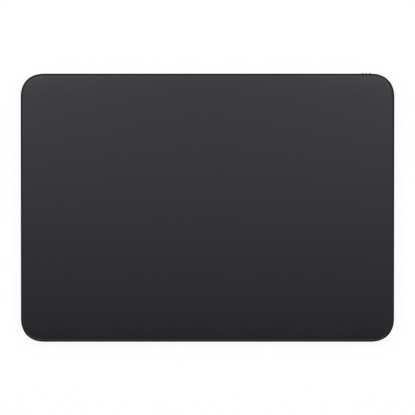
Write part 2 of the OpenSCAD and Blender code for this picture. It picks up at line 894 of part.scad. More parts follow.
module logic_board() {
    color(board_black) difference() {
        translate([logic_x0 + logic_w / 2, logic_y0 + logic_d / 2, logic_under])
            linear_extrude(pcb_t) round_rect(logic_w, logic_d, logic_corner_r);
        at_logic_screws() screw_hole(logic_screw_l);
    }
}

// A part on the logic board: its middle counted from the board's left front corner, and its size
module on_logic(at, size) {
    translate([logic_x0 + at[0] - size[0] / 2, logic_y0 + at[1] - size[1] / 2, logic_top]) cube(size);
}

// Processor, radio, charger, memory and two rows of small parts
module logic_chips() {
    color(chip_black) {
        on_logic(processor_at, processor);
        on_logic(can_at, radio);
        on_logic(charger_at, charger);
        on_logic(memory_at, memory);
        for (row = [front_row_at, rear_row_at], i = part_row)
            on_logic(row + [i * part_pitch, 0], small_part);
    }
}

// A tin lid over the radio
module shield_can() {
    color(steel) difference() {
        on_logic(can_at, can);
        translate([0, 0, -can_wall]) on_logic(can_at, [can[0] - 2 * can_wall, can[1] - 2 * can_wall, can[2]]);
    }
}

// A folded strip on two legs along the board's front edge
module antenna() {
    color(steel) {
        translate([0, 0, aerial_leg[2]]) on_logic([logic_w / 2, aerial_front], aerial);
        for (s = [-1, 1])
            on_logic([logic_w / 2 + s * (aerial[0] - aerial_leg[0]) / 2, aerial_front], aerial_leg);
    }
}

module logic_screws() {
    color(dark_steel) at_logic_screws() screw(logic_screw_l);
}

// Sockets where the flat cables plug in: under the logic board's left and rear edges, on its
// upper face for the touch sensor, and under the port's board
module flex_plugs() {
    z0 = floor_top + flex_t + plug_gap;
    x0 = logic_x0 + plug_edge;
    y1 = logic_y1 - plug_edge;
    color(chip_black) {
        block([x0, battery_plug_y, z0], [x0 + plug_w, battery_plug_y + flex_w, logic_under]);
        block(
            [x0, drive_plug_y - drive_flex_w / 2, z0],
            [x0 + plug_w, drive_plug_y + drive_flex_w / 2, logic_under]
        );
        for (x = [port_plug_x, switch_plug_x]) block([x, y1 - plug_w, z0], [x + flex_w, y1, logic_under]);
        block(
            [x0 + plug_w, sensor_plug_y, logic_top],
            [x0 + 2 * plug_w, sensor_plug_y + flex_w, logic_top + plug_top_h]
        );
        block(
            [-flex_w / 2, port_board_y0 + plug_edge, z0],
            [flex_w / 2, port_board_y0 + plug_edge + plug_w, port_board_under]
        );
    }
}

// Flat cables

module floor_strip(points) {
    translate([0, 0, floor_top]) linear_extrude(flex_t) polygon(points);
}

// A cable that lies at z0 from x0 to x1, slopes down to z1 at x2 and lies there up to x3
module stepped_ribbon(y, width, x0, x1, x2, x3, z0, z1) {
    ribbon(y, width, [
        [x0, z0], [x1, z0], [x2, z1], [x3, z1],
        [x3, z1 + flex_t], [x2 + flex_t, z1 + flex_t], [x1 + flex_t, z0 + flex_t], [x0, z0 + flex_t]
    ]);
}

// From the battery's board, down beside it and under the logic board's left edge
module battery_flex() {
    x1 = battery_x1 + battery_tab_l + plug_edge;
    color(flex_amber) stepped_ribbon(
        battery_plug_y, flex_w,
        x1 - plug_w, x1, x1 + flex_slope, logic_x0 + plug_edge + plug_w,
        battery_z0 + battery_tab_t + pcb_t, floor_top
    );
}

// From the drive's right ear, between its screws, down to the floor and under the logic board's left edge
module drive_flex() {
    y1 = drive_plug_y + drive_flex_w / 2;
    x1 = drive_frame_w / 2 + plug_edge;
    color(flex_amber) stepped_ribbon(
        drive_plug_y - drive_flex_w / 2, drive_flex_w,
        cores_end + plug_gap, x1, x1 + flex_slope, logic_x0 + plug_edge + plug_w,
        deck_z + y1 * tan(tilt) - core_under / cos(tilt) + plug_gap, floor_top
    );
}

// From the underside of the sensor board, with a slack fold, to its socket on the logic board
module sensor_flex() {
    x3 = logic_x0 + plug_edge + plug_w - plug_gap;
    x2 = x3 - plug_edge;
    x1 = x2 - 2 * flex_slope;
    color(flex_amber) stepped_ribbon(
        sensor_plug_y, flex_w,
        x1 - 2 * plug_w, x1, x2, x3,
        deck_z + sensor_plug_y * tan(tilt) - stack_t / cos(tilt) - flex_t - plug_gap, logic_top + plug_gap
    );
}

// From the port along the rear and forward to the logic board's rear edge
module port_flex() {
    x1 = port_plug_x + flex_w;
    y0 = logic_y1 - plug_edge - plug_w;
    y1 = port_board_y0 + plug_edge + plug_w;
    color(flex_amber) floor_strip([
        [-flex_w / 2, y1], [-flex_w / 2, y1 - flex_w], [port_plug_x, y1 - flex_w],
        [port_plug_x, y0], [x1, y0], [x1, y1]
    ]);
}

// From the switch's board, between its stand-offs, past the flexure's post to the logic board's rear edge
module switch_flex() {
    x0 = switch_plug_x;
    x1 = slot_x - flex_w / 2;
    y0 = logic_y1 - plug_edge - plug_w;
    y1 = deck_d / 2 - button_rear + flexure_base_w / 2 + 2 * post_margin;
    y2 = bracket_y0;
    color(flex_amber) floor_strip([
        [x0, y0], [x0 + flex_w, y0], [x0 + flex_w, y1], [x1 + flex_w, y2],
        [x1 + flex_w, switch_board_y0], [x1, switch_board_y0], [x1, y2], [x0, y1]
    ]);
}

// Charging port

module at_port_screws() {
    for (s = [-1, 1]) translate([s * port_screw_x, port_strap_y, port_board_top + port_strap_t]) children();
}

module port_shell() {
    color(steel) {
        to_rear(0, rear_mid_z, port_back_y, port_mouth_y) difference() {
            stadium(shell_w, shell_h);
            stadium(port_w, port_h);
        }
        to_rear(0, rear_mid_z, port_back_y, port_back_y + port_shell_t) stadium(shell_w, shell_h);
    }
}

// The plastic tongue inside the port, on its base
module port_tongue() {
    y0 = port_back_y + port_shell_t;
    color(chip_black) {
        to_rear(0, rear_mid_z, y0, y0 + tongue_base_l) stadium(port_w - 2 * snug, port_h - 2 * snug);
        to_rear(0, rear_mid_z, y0, port_mouth_y - tongue_short)
            square([port_w - 2 * tongue_side_gap, tongue_t], center = true);
    }
}

// Gilt contacts on both faces of the tongue
module port_contacts() {
    y = port_mouth_y - tongue_short - contact_end - contact[1] / 2;
    side_z = (tongue_t + contact[2]) / 2;
    color(gold) for (s = [-1, 1], i = [0 : contact_count - 1])
        translate([(i - (contact_count - 1) / 2) * contact_pitch, y, rear_mid_z + s * side_z])
            cube(contact, center = true);
}

module port_board() {
    color(board_green) difference() {
        block(
            [-port_board_w / 2, port_board_y0, port_board_under],
            [port_board_w / 2, port_board_y1, port_board_top]
        );
        at_port_screws() screw_hole(port_screw_l);
    }
}

// A steel strap that holds the port down on its board
module port_strap() {
    w = shell_w + 2 * snug;
    h = shell_h + snug;
    y0 = port_strap_y - port_strap_l / 2;
    y1 = port_strap_y + port_strap_l / 2;
    color(dark_steel) difference() {
        union() {
            block(
                [-w / 2 - port_strap_t, y0, port_board_top],
                [w / 2 + port_strap_t, y1, port_board_top + h + port_strap_t]
            );
            block(
                [-port_strap_w / 2, y0, port_board_top],
                [port_strap_w / 2, y1, port_board_top + port_strap_t]
            );
        }
        block([-w / 2, y0 - past, port_board_top - past], [w / 2, y1 + past, port_board_top + h]);
        at_port_screws() screw_hole(port_screw_l);
    }
}

module port_screws() {
    color(dark_steel) at_port_screws() screw(port_screw_l);
}

// Power switch

// A box from x0 to x1 and y0 to y1, h high about the middle of the rear wall
module rear_block(x0, x1, y0, y1, h) {
    block([x0, y0, rear_mid_z - h / 2], [x1, y1, rear_mid_z + h / 2]);
}

module at_switch_screws() {
    for (s = [-1, 1])
        translate([slot_x + s * bracket_screw_pitch / 2, bracket_screw_y, bracket_z + bracket_t]) children();
}

// The ribbed knob, its flange behind the wall, and the stem that drives the switch
module switch_knob() {
    face_y = rear_y - knob_recess;
    color(plastic_black) {
        to_rear(knob_mid, rear_mid_z, flange_y0, face_y) stadium(knob_l, knob_h);
        rear_block(flange_x0, flange_x1, flange_y0, flange_y1, flange_h);
        for (i = [-1 : 1]) {
            x = knob_mid + i * rib_pitch;
            rear_block(x - rib_w / 2, x + rib_w / 2, flange_y1, rear_y + knob_proud, knob_h - 2 * rib_end);
        }
        rear_block(knob_mid - stem_w / 2, knob_mid + stem_w / 2, stem_y0, flange_y1, stem_h);
    }
}

// The green plate that shows in the slot when the switch is on
module switch_flag() {
    color(on_green) rear_block(flag_x0, flange_x0, flange_y0, flange_y1, flange_h);
}

// The plate behind the knob, with a slot for its stem
module switch_guide() {
    x0 = knob_mid - knob_travel - stem_w / 2 - stem_gap;
    x1 = knob_mid + stem_w / 2 + stem_gap;
    color(plastic_black) difference() {
        rear_block(guide_x0, guide_x1, guide_y0, wall_in_y, guide_h);
        rear_block(x0, x1, guide_y0 - past, wall_in_y + past, stem_h + 2 * stem_gap);
    }
}

// The slide of the small switch, with a socket for the stem and a pin into its box
module switch_lever() {
    socket_w = stem_w + 2 * snug;
    pin_w = lever_pin[0];
    color(plastic_white) difference() {
        union() {
            rear_block(knob_mid - lever[0] / 2, knob_mid + lever[0] / 2, lever_y0, lever_y1, lever[2]);
            rear_block(
                knob_mid - pin_w / 2, knob_mid + pin_w / 2, box_y1 - lever_pin[1], lever_y1, lever_pin[2]
            );
        }
        rear_block(
            knob_mid - socket_w / 2, knob_mid + socket_w / 2,
            stem_y0 - snug, lever_y1 + past, stem_h + 2 * snug
        );
    }
}

// The small switch's tin box, with a slot for the pin of its slide
module switch_box() {
    x0 = knob_mid - knob_travel - lever_pin[0] / 2 - knob_gap;
    x1 = knob_mid + lever_pin[0] / 2 + knob_gap;
    color(steel) difference() {
        rear_block(slot_x - box_l / 2, slot_x + box_l / 2, box_y0, box_y1, box_h);
        rear_block(x0, x1, box_y0 + box_wall, box_y1 + past, lever_pin[2] + 2 * knob_gap);
    }
}

module switch_board() {
    half_w = switch_board_w / 2;
    color(board_green) rear_block(slot_x - half_w, slot_x + half_w, switch_board_y0, box_y0, guide_h);
}

// An angle of steel behind the switch, screwed to two stand-offs
module switch_bracket() {
    x0 = slot_x - switch_board_w / 2;
    x1 = slot_x + switch_board_w / 2;
    color(dark_steel) difference() {
        union() {
            block([x0, bracket_y1 - bracket_t, bracket_z], [x1, bracket_y1, rear_mid_z + guide_h / 2]);
            block([x0, bracket_y0, bracket_z], [x1, bracket_y1, bracket_z + bracket_t]);
        }
        at_switch_screws() screw_hole(bracket_screw_l);
    }
}

module switch_screws() {
    color(dark_steel) at_switch_screws() screw(bracket_screw_l);
}

enclosure();
bottom_cover();
cover_adhesive();
for (c = corners) foot(c);
touch_glass();
glass_adhesive();
sensor_board();
sensor_chips();
pull_bar();
gel_pads();
load_buttons();
for (c = corners) flexure(c);
strain_gauges();
flexure_screws();
drive_frame();
drive_core(-1);  // drive_core_left
drive_core(1);  // drive_core_right
drive_coil(-1);  // drive_coil_left
drive_coil(1);  // drive_coil_right
drive_screws();
drive_flex();
battery_pouch();
battery_board();
battery_adhesive();
battery_flex();
logic_board();
logic_chips();
shield_can();
antenna();
flex_plugs();
logic_screws();
sensor_flex();
port_shell();
port_tongue();
port_contacts();
port_board();
port_strap();
port_screws();
port_flex();
switch_knob();
switch_flag();
switch_lever();
switch_guide();
switch_box();
switch_board();
switch_bracket();
switch_screws();
switch_flex();
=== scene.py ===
# Looks of a low wedge-shaped touch pad for a desk: a matte black glass plate that floats in a dark
# anodised tray, with a charging port and a slide switch in the rear wall.
import json
import math

import bmesh
import bpy
from mathutils import Matrix, Vector


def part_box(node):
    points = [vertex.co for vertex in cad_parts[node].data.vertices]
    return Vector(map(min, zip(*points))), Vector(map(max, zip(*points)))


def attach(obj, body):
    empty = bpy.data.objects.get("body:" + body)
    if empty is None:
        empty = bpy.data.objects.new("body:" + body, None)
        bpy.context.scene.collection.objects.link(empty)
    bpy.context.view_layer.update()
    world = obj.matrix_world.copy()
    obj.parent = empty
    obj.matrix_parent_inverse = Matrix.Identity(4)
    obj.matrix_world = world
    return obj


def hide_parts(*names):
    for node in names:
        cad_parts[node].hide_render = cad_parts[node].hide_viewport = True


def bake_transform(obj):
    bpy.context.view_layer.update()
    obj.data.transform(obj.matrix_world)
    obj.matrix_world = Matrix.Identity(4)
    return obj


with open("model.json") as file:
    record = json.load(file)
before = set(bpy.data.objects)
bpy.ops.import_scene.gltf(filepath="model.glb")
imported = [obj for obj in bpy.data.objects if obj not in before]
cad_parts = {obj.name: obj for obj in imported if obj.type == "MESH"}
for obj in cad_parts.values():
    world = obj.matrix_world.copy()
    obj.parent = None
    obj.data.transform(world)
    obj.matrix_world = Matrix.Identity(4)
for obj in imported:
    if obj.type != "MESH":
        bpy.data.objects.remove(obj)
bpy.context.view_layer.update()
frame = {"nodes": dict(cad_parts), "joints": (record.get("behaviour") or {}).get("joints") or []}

# Tray: one piece of aluminium, milled, bead-blasted and anodised near black. A thin rim of it shows
# round the glass, a little lower than it. The rear wall is cut for the charging port and the slide
# switch, and the posts and stand-offs on the floor carry everything inside.
MM = 0.001
front_h = 4.9 * MM
rear_h = 10.9 * MM
cover_border = 2.4 * MM
cover_low, cover_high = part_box("bottom_cover")
body_w = cover_high.x - cover_low.x + 2 * cover_border
body_d = cover_high.y - cover_low.y + 2 * cover_border
desk_gap = cover_low.z
floor_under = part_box("cover_adhesive")[1].z
floor_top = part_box("battery_adhesive")[0].z
wall_t = 1.6 * MM
rear_y = body_d / 2
wall_in_y = rear_y - wall_t

# The glass leans forward, and the deck is the plane of its upper face
tilt = math.atan2(rear_h - front_h, body_d)
deck_d = body_d / math.cos(tilt)
deck_mid = Vector((0, 0, (front_h + rear_h) / 2))
lean = Matrix.Translation(deck_mid) @ Matrix.Rotation(tilt, 4, "X")


def on_deck(x, y, depth):
    """A point at x and y on the deck, at a depth under the glass's upper face."""
    return lean @ Vector((x, y, -depth))


def box_round(points):
    """The lowest and the highest corner of the box round some points."""
    return [Vector([pick(point[i] for point in points) for i in range(3)]) for pick in (min, max)]


def deck_box(node):
    """A plain solid's lowest and highest corners along the deck's own axes."""
    level = lean.inverted()
    return box_round([level @ vert.co for vert in frame["nodes"][node].data.vertices])


corner_reach = 10.3 * MM
corner_power = 2.3
corner_steps = 28
quarters = ((1, 1), (-1, 1), (-1, -1), (1, -1))


def quarter_turn(steps):
    """Angles from 0 to 90 degrees, in radians."""
    return [math.pi / 2 * i / steps for i in range(steps + 1)]


def edge_over(r, steps):
    """Insets and drops of a rounded edge, from a piece's side over to its top."""
    return [(r * (1 - math.cos(a)), r * (1 - math.sin(a))) for a in quarter_turn(steps)]


def edge_under(r, steps):
    """Insets and rises of a rounded edge, from a piece's underside round to its side."""
    return [(r * (1 - math.sin(a)), r * (1 - math.cos(a))) for a in quarter_turn(steps)]


def outline(inset, depth):
    """The pad's plan, taken in by inset: straight sides and superellipse corners, counter-clockwise."""
    reach = corner_reach - inset
    mid_x = body_w / 2 - corner_reach
    mid_y = depth / 2 - corner_reach
    power = 2 / corner_power
    curve = []
    for a in quarter_turn(corner_steps):
        curve.append((reach * abs(math.cos(a)) ** power, reach * math.sin(a) ** power))
    points = []
    for sx, sy in quarters:
        quarter = curve if sx == sy else curve[::-1]
        points += [(sx * (mid_x + x), sy * (mid_y + y)) for x, y in quarter]
    return points


def level_ring(inset, z):
    """The plan at a height above the desk."""
    return [Vector((x, y, z)) for x, y in outline(inset, body_d)]


def deck_ring(inset, depth):
    """The plan on the deck, at a depth under the glass's upper face."""
    return [on_deck(x, y, depth) for x, y in outline(inset, deck_d)]


def sloping_ring(inset, depth):
    """The upright plan, cut off by the plane at that depth."""
    plane_z = deck_mid.z - depth / math.cos(tilt)
    return [Vector((x, y, plane_z + y * math.tan(tilt))) for x, y in outline(inset, body_d)]


def loft(rings, hollow=False):
    """A closed skin through rings of points, with flat ends, or its last ring joined to its first."""
    skin = bmesh.new()
    loops = [[skin.verts.new(point) for point in ring] for ring in rings]
    count = len(rings[0])
    for low, high in zip(loops, loops[1:] + loops[:1] if hollow else loops[1:]):
        for i in range(count):
            k = (i + 1) % count
            skin.faces.new((low[i], low[k], high[k], high[i]))
    if not hollow:
        skin.faces.new(loops[0][::-1])
        skin.faces.new(loops[-1])
    if skin.calc_volume(signed=True) < 0:
        bmesh.ops.reverse_faces(skin, faces=skin.faces)
    return skin


def block(low, high):
    """A box from its two corners."""
    low_ring = [(low[0], low[1]), (high[0], low[1]), (high[0], high[1]), (low[0], high[1])]
    return loft([[Vector((x, y, z)) for x, y in low_ring] for z in (low[2], high[2])])


def stadium_ring(width, height, x, y, z, steps=16):
    """A rectangle with round ends, upright across the rear wall."""
    r = height / 2
    half = width / 2 - r
    points = []
    for side, start in ((1, -math.pi / 2), (-1, math.pi / 2)):
        for i in range(steps + 1):
            a = start + math.pi * i / steps
            points.append(Vector((x + side * half + r * math.cos(a), y, z + r * math.sin(a))))
    return points


def piece(name, skin):
    """An object of its own for a skin, at the origin."""
    mesh = bpy.data.meshes.new(name)
    skin.to_mesh(mesh)
    skin.free()
    made = bpy.data.objects.new(name, mesh)
    bpy.context.scene.collection.objects.link(made)
    return made


def settle(made):
    """Turns what the object's modifiers make into its own mesh, and removes them."""
    graph = bpy.context.evaluated_depsgraph_get()
    shown = made.evaluated_get(graph)
    mesh = bpy.data.meshes.new_from_object(shown, preserve_all_data_layers=True, depsgraph=graph)
    made.modifiers.clear()
    made.data = mesh


def joined(made, tool, operation):
    """Joins the tool's solid to the object, or cuts it away, and deletes the tool."""
    step = made.modifiers.new("joined", "BOOLEAN")
    step.operation = operation
    step.solver = "EXACT"
    step.use_self = True
    step.object = tool
    settle(made)
    bpy.data.objects.remove(tool)


def together(skins):
    """One skin out of several."""
    whole = bmesh.new()
    for skin in skins:
        part = bpy.data.meshes.new("part")
        skin.to_mesh(part)
        skin.free()
        whole.from_mesh(part)
        bpy.data.meshes.remove(part)
    return whole


def break_edges(skin, edges, width, segments=2, clamp=False):
    """Takes the sharpness off some of a skin's edges."""
    bmesh.ops.bevel(
        skin, geom=edges, offset=width, segments=segments, affect="EDGES", profile=0.5,
        clamp_overlap=clamp,
    )


crease_angle = math.radians(40)


def smooth(made):
    """Smooth shading that keeps flat faces flat and edges over the crease angle crisp."""
    made.data.shade_smooth()
    made.data.set_sharp_from_angle(angle=crease_angle)
    step = made.modifiers.new("flat faces", "WEIGHTED_NORMAL")
    step.keep_sharp = True
    settle(made)


def add_node(tree, kind, sockets=None, **settings):
    """A node with its settings, whose inputs are values or come from other nodes' outputs."""
    node = tree.nodes.new(kind)
    for key, value in settings.items():
        setattr(node, key, value)
    for key, value in (sockets or {}).items():
        if isinstance(value, bpy.types.NodeSocket):
            tree.links.new(value, node.inputs[key])
        else:
            node.inputs[key].default_value = value
    return node


def tone(red, green, blue):
    """A colour from its 0 to 255 screen values, by the usual screen curve."""
    def linear(value):
        value /= 255
        return value / 12.92 if value <= 0.04045 else ((value + 0.055) / 1.055) ** 2.4
    return (linear(red), linear(green), linear(blue), 1.0)


grain_span = (0.3, 0.7)
grain_detail = 3.0


def grained(name, dark, pale, grain, rough, relief, stretch=(1, 1, 1), **plain):
    """A material whose tone, roughness and relief follow a fine random grain of the given size."""
    made = bpy.data.materials.new(name)
    made.use_nodes = True
    tree = made.node_tree
    shader = tree.nodes["Principled BSDF"]
    for key, value in plain.items():
        shader.inputs[key.replace("_", " ").title().replace("Ior", "IOR")].default_value = value
    place = add_node(tree, "ShaderNodeTexCoord")
    spread = add_node(tree, "ShaderNodeMapping", {"Vector": place.outputs["Object"], "Scale": stretch})
    noise = add_node(tree, "ShaderNodeTexNoise", {
        "Vector": spread.outputs["Vector"], "Scale": 1 / grain, "Detail": grain_detail,
    })
    ramp = add_node(tree, "ShaderNodeValToRGB", {"Fac": noise.outputs["Fac"]})
    for element, position, colour in zip(ramp.color_ramp.elements, grain_span, (dark, pale)):
        element.position = position
        element.color = colour
    roughness = add_node(tree, "ShaderNodeMapRange", {
        "Value": noise.outputs["Fac"], "From Min": grain_span[0], "From Max": grain_span[1],
        "To Min": rough[0], "To Max": rough[1],
    })
    bump = add_node(tree, "ShaderNodeBump", {
        "Height": noise.outputs["Fac"], "Strength": 1.0, "Distance": relief,
    })
    tree.links.new(ramp.outputs["Color"], shader.inputs["Base Color"])
    tree.links.new(roughness.outputs["Result"], shader.inputs["Roughness"])
    tree.links.new(bump.outputs["Normal"], shader.inputs["Normal"])
    return made


def dress(material, *nodes):
    """Gives carried-over pieces their finish."""
    for node in nodes:
        slots = frame["nodes"][node].data.materials
        slots.clear()
        slots.append(material)


def fit(made, material, body, slot, *nodes, bend=None):
    """Gives a new piece its finish, and puts it on its body in place of the plain solids.

    A piece given a bend, two points, is left in place and not put on its body; the points aren't used.
    """
    made.data.materials.clear()
    made.data.materials.append(material)
    if bend:
        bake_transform(made)
    else:
        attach(made, body)
    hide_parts(*nodes)


lower_edge_r = 1.2 * MM
recess_bevel = 0.1 * MM
rim_w = 0.35 * MM
rim_drop = 0.3 * MM
rim_r = 0.1 * MM
rim_inner_bevel = 0.05 * MM
pocket_depth = 1.25 * MM
cover_clearance = 0.15 * MM
recess = cover_border - cover_clearance
# A ring this far from a rounded edge keeps the face beside it flat
hold = 0.15 * MM

tray_rings = [
    level_ring(recess, floor_under),
    level_ring(recess, desk_gap + recess_bevel),
    level_ring(recess - recess_bevel, desk_gap),
]
tray_rings += [level_ring(inset, desk_gap + rise) for inset, rise in edge_under(lower_edge_r, steps=8)]
tray_rings.append(level_ring(0, desk_gap + lower_edge_r + hold))
tray_rings.append(deck_ring(0, rim_drop + rim_r + hold))
tray_rings += [deck_ring(inset, rim_drop + drop) for inset, drop in edge_over(rim_r, steps=5)]
tray_rings += [
    deck_ring(rim_w - rim_inner_bevel, rim_drop),
    deck_ring(rim_w, rim_drop + rim_inner_bevel),
    deck_ring(rim_w, pocket_depth),
    sloping_ring(wall_t, pocket_depth),
    level_ring(wall_t, floor_top),
]
tray = piece("tray", loft(tray_rings))

# Posts under the force sensors and the haptic drive, stand-offs for the rest, and the battery's ribs.
# They go down into the floor, and what cuts a hole goes past the wall.
past = 2 * MM
sunk = 0.35 * MM
head_r = 1.3 * MM
standoff_r = 1.6 * MM
boss_r = 1.7 * MM
post_in_x = 67 * MM
post_out_x = body_w / 2 - wall_t / 2
post_margin = 0.5 * MM
post_steps = 32


def disc_ring(x, y, z, r, steps=64):
    """A level ring of points, whose radius may follow the angle."""
    turn = [2 * math.pi * i / steps for i in range(steps)]
    spans = [r(a) if callable(r) else r for a in turn]
    return [Vector((x + span * math.cos(a), y + span * math.sin(a), z)) for a, span in zip(turn, spans)]


def leaning_post(plan, depth):
    """A post from the floor, cut off level with the leaning glass."""
    top = [on_deck(point[0], point[1], depth) for point in plan]
    foot = [Vector((point.x, point.y, floor_top - sunk)) for point in top]
    return loft([foot, top])


def screw_spots(box):
    """The middles of the screws at a box's corners, or of a single row of them."""
    low, high = box
    ys = sorted({round(y, 6) for y in (low.y + head_r, high.y - head_r)})
    return [(x, y) for x in (low.x + head_r, high.x - head_r) for y in ys]


posts = []
corners = [(end, side) for end in ("front", "rear") for side in ("left", "right")]
for end, side in corners:
    low, high = deck_box(f"flexure_{end}_{side}")
    sign = 1 if side == "right" else -1
    y0, y1 = low.y - post_margin, high.y + post_margin
    plan = ((post_in_x, y0), (post_out_x, y0), (post_out_x, y1), (post_in_x, y1))
    posts.append(leaning_post([(sign * x, y) for x, y in plan], -low.z))
for x, y in screw_spots(deck_box("drive_screws")):
    posts.append(leaning_post(disc_ring(x, y, 0, boss_r, post_steps), -deck_box("drive_frame")[0].z))
for screws, carried in (
    ("logic_screws", "logic_board"), ("port_screws", "port_board"), ("switch_screws", "switch_bracket"),
):
    for x, y in screw_spots(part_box(screws)):
        heights = (floor_top - sunk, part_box(carried)[0].z)
        posts.append(loft([disc_ring(x, y, z, standoff_r, post_steps) for z in heights]))
rib_h = 0.8 * MM
rib_w = 0.8 * MM
rib_gap = 0.3 * MM
cell_low, cell_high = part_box("battery_pouch")
glue_low, glue_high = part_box("battery_adhesive")
for y in (cell_low.y - rib_gap - rib_w, cell_high.y + rib_gap):
    posts.append(block((glue_low.x, y, floor_top - sunk), (glue_high.x, y + rib_w, floor_top + rib_h)))
joined(tray, piece("posts", together(posts)), "UNION")

# Threaded holes in the posts, and the window in the floor under the antenna
screw_r = 0.7 * MM
screw_gap = 0.08 * MM
hole_steps = 24
window_front = 3 * MM
flexure_screw_in = 2.5 * MM


def drilled(spots, box):
    """Holes for screws that reach through a box's height."""
    r = screw_r + screw_gap
    heights = (box[0].z - screw_gap, box[1].z)
    return [loft([disc_ring(x, y, z, r, hole_steps) for z in heights]) for x, y in spots]


flexure_box = deck_box("flexure_rear_right")
flexure_mid_x = (post_in_x + flexure_box[1].x) / 2
flexure_half_w = (flexure_box[1].y - flexure_box[0].y) / 2
flexure_screw_side = flexure_half_w - flexure_screw_in
button_ys = [sum(corner.y for corner in deck_box(f"flexure_{end}_left")) / 2 for end in ("front", "rear")]
flexure_spots = [
    (sx * flexure_mid_x, y + sy * flexure_screw_side)
    for sx in (-1, 1) for sy in (-1, 1) for y in button_ys
]
leaning_holes = drilled(flexure_spots, deck_box("flexure_screws"))
leaning_holes += drilled(screw_spots(deck_box("drive_screws")), deck_box("drive_screws"))
holes = together(leaning_holes)
bmesh.ops.transform(holes, matrix=lean, verts=holes.verts)
openings = [holes]
for screws in ("logic_screws", "port_screws", "switch_screws"):
    openings += drilled(screw_spots(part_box(screws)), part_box(screws))
antenna_low, antenna_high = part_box("antenna")
window_y0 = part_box("logic_board")[0].y - window_front
openings.append(block(
    (antenna_low.x, window_y0, floor_under - past), (antenna_high.x, antenna_high.y, floor_top + sunk)
))

# The port's hole, the switch's slot, and the track behind the slot for the switch's flag
port_low, port_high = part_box("port_shell")
port_mid = (port_low + port_high) / 2
port_w = port_high.x - port_low.x
port_h = port_high.z - port_low.z
port_clearance = 0.1 * MM
knob_low, knob_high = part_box("switch_knob")
knob_x = (knob_low.x + knob_high.x) / 2
knob_l = 5.0 * MM
knob_h = 2.2 * MM
knob_clearance = 0.15 * MM
knob_travel = -next(j for j in frame["joints"] if j["name"] == "power_switch_slide")["range_m"][0]
slot_x = knob_x - knob_travel / 2
slot_l = knob_l + knob_travel + 2 * knob_clearance
slot_h = knob_h + 2 * knob_clearance
mid_z = port_mid.z
flag_low, flag_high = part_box("switch_flag")
track_clearance = 0.1 * MM
track_y1 = flag_high.y + track_clearance
hole_w = port_w + 2 * port_clearance
hole_h = port_h + 2 * port_clearance
through_wall = (wall_in_y - past, rear_y + past)
openings += [
    loft([stadium_ring(hole_w, hole_h, port_mid.x, y, mid_z) for y in through_wall]),
    loft([stadium_ring(slot_l, slot_h, slot_x, y, mid_z) for y in through_wall]),
]
joined(tray, piece("openings", together(openings)), "DIFFERENCE")
track = block(
    (flag_low.x - knob_travel - knob_clearance, wall_in_y - past, flag_low.z - track_clearance),
    (knob_high.x + knob_clearance, track_y1, flag_high.z + track_clearance),
)
joined(tray, piece("track", track), "DIFFERENCE")
opening_bevel = 0.12 * MM
on_wall = 0.02 * MM
faces_rear = 0.9
faces_across = 0.1
skin = bmesh.new()
skin.from_mesh(tray.data)
lips = [
    edge for edge in skin.edges
    if all(abs(vert.co.y - rear_y) < on_wall for vert in edge.verts)
    and len(edge.link_faces) == 2
    and max(face.normal.y for face in edge.link_faces) > faces_rear
    and min(abs(face.normal.y) for face in edge.link_faces) < faces_across
]
break_edges(skin, lips, opening_bevel, segments=3)
skin.to_mesh(tray.data)
skin.free()
smooth(tray)
anodised = grained(
    "anodised_aluminium", tone(44, 45, 48), tone(52, 53, 56),
    grain=0.08 * MM, rough=(0.6, 0.7), relief=0.004 * MM, metallic=1.0,
)
fit(tray, anodised, "base", "anodised_aluminium", "enclosure")

# Bottom cover and feet: a moulded black plate, glued into the tray's lower side by a border of film,
# and four soft rubber discs that sit in round recesses in it.
cover_bevel = 0.2 * MM
cover_rings = [level_ring(cover_border + cover_bevel + hold, desk_gap)]
cover_rings += [
    level_ring(cover_border + inset, desk_gap + rise) for inset, rise in edge_under(cover_bevel, steps=4)
]
cover_rings.append(level_ring(cover_border, cover_high.z))
cover = piece("under_cover", loft(cover_rings))

foot_low, foot_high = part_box("foot_rear_right")
foot_mid = (foot_low + foot_high) / 2
foot_r = (foot_high.x - foot_low.x) / 2
foot_round = 0.35 * MM
foot_top_round = 0.05 * MM
hole_r = foot_r + cover_clearance
recesses = []
for sx in (-1, 1):
    for sy in (-1, 1):
        x, y = sx * foot_mid.x, sy * foot_mid.y
        recesses.append(loft([
            disc_ring(x, y, desk_gap - past, hole_r + recess_bevel),
            disc_ring(x, y, desk_gap, hole_r + recess_bevel),
            disc_ring(x, y, desk_gap + recess_bevel, hole_r),
            disc_ring(x, y, foot_high.z, hole_r),
        ]))
joined(cover, piece("recesses", together(recesses)), "DIFFERENCE")
smooth(cover)
cover_plastic = grained(
    "cover_plastic", tone(30, 31, 32), tone(40, 41, 42),
    grain=0.3 * MM, rough=(0.55, 0.7), relief=0.02 * MM, specular_ior_level=0.4,
)
fit(cover, cover_plastic, "base", "cover_plastic", "bottom_cover")


def reckoned(tree, operation, first, second):
    """What a math node makes of two values or outputs."""
    return add_node(tree, "ShaderNodeMath", {0: first, 1: second}, operation=operation).outputs[0]


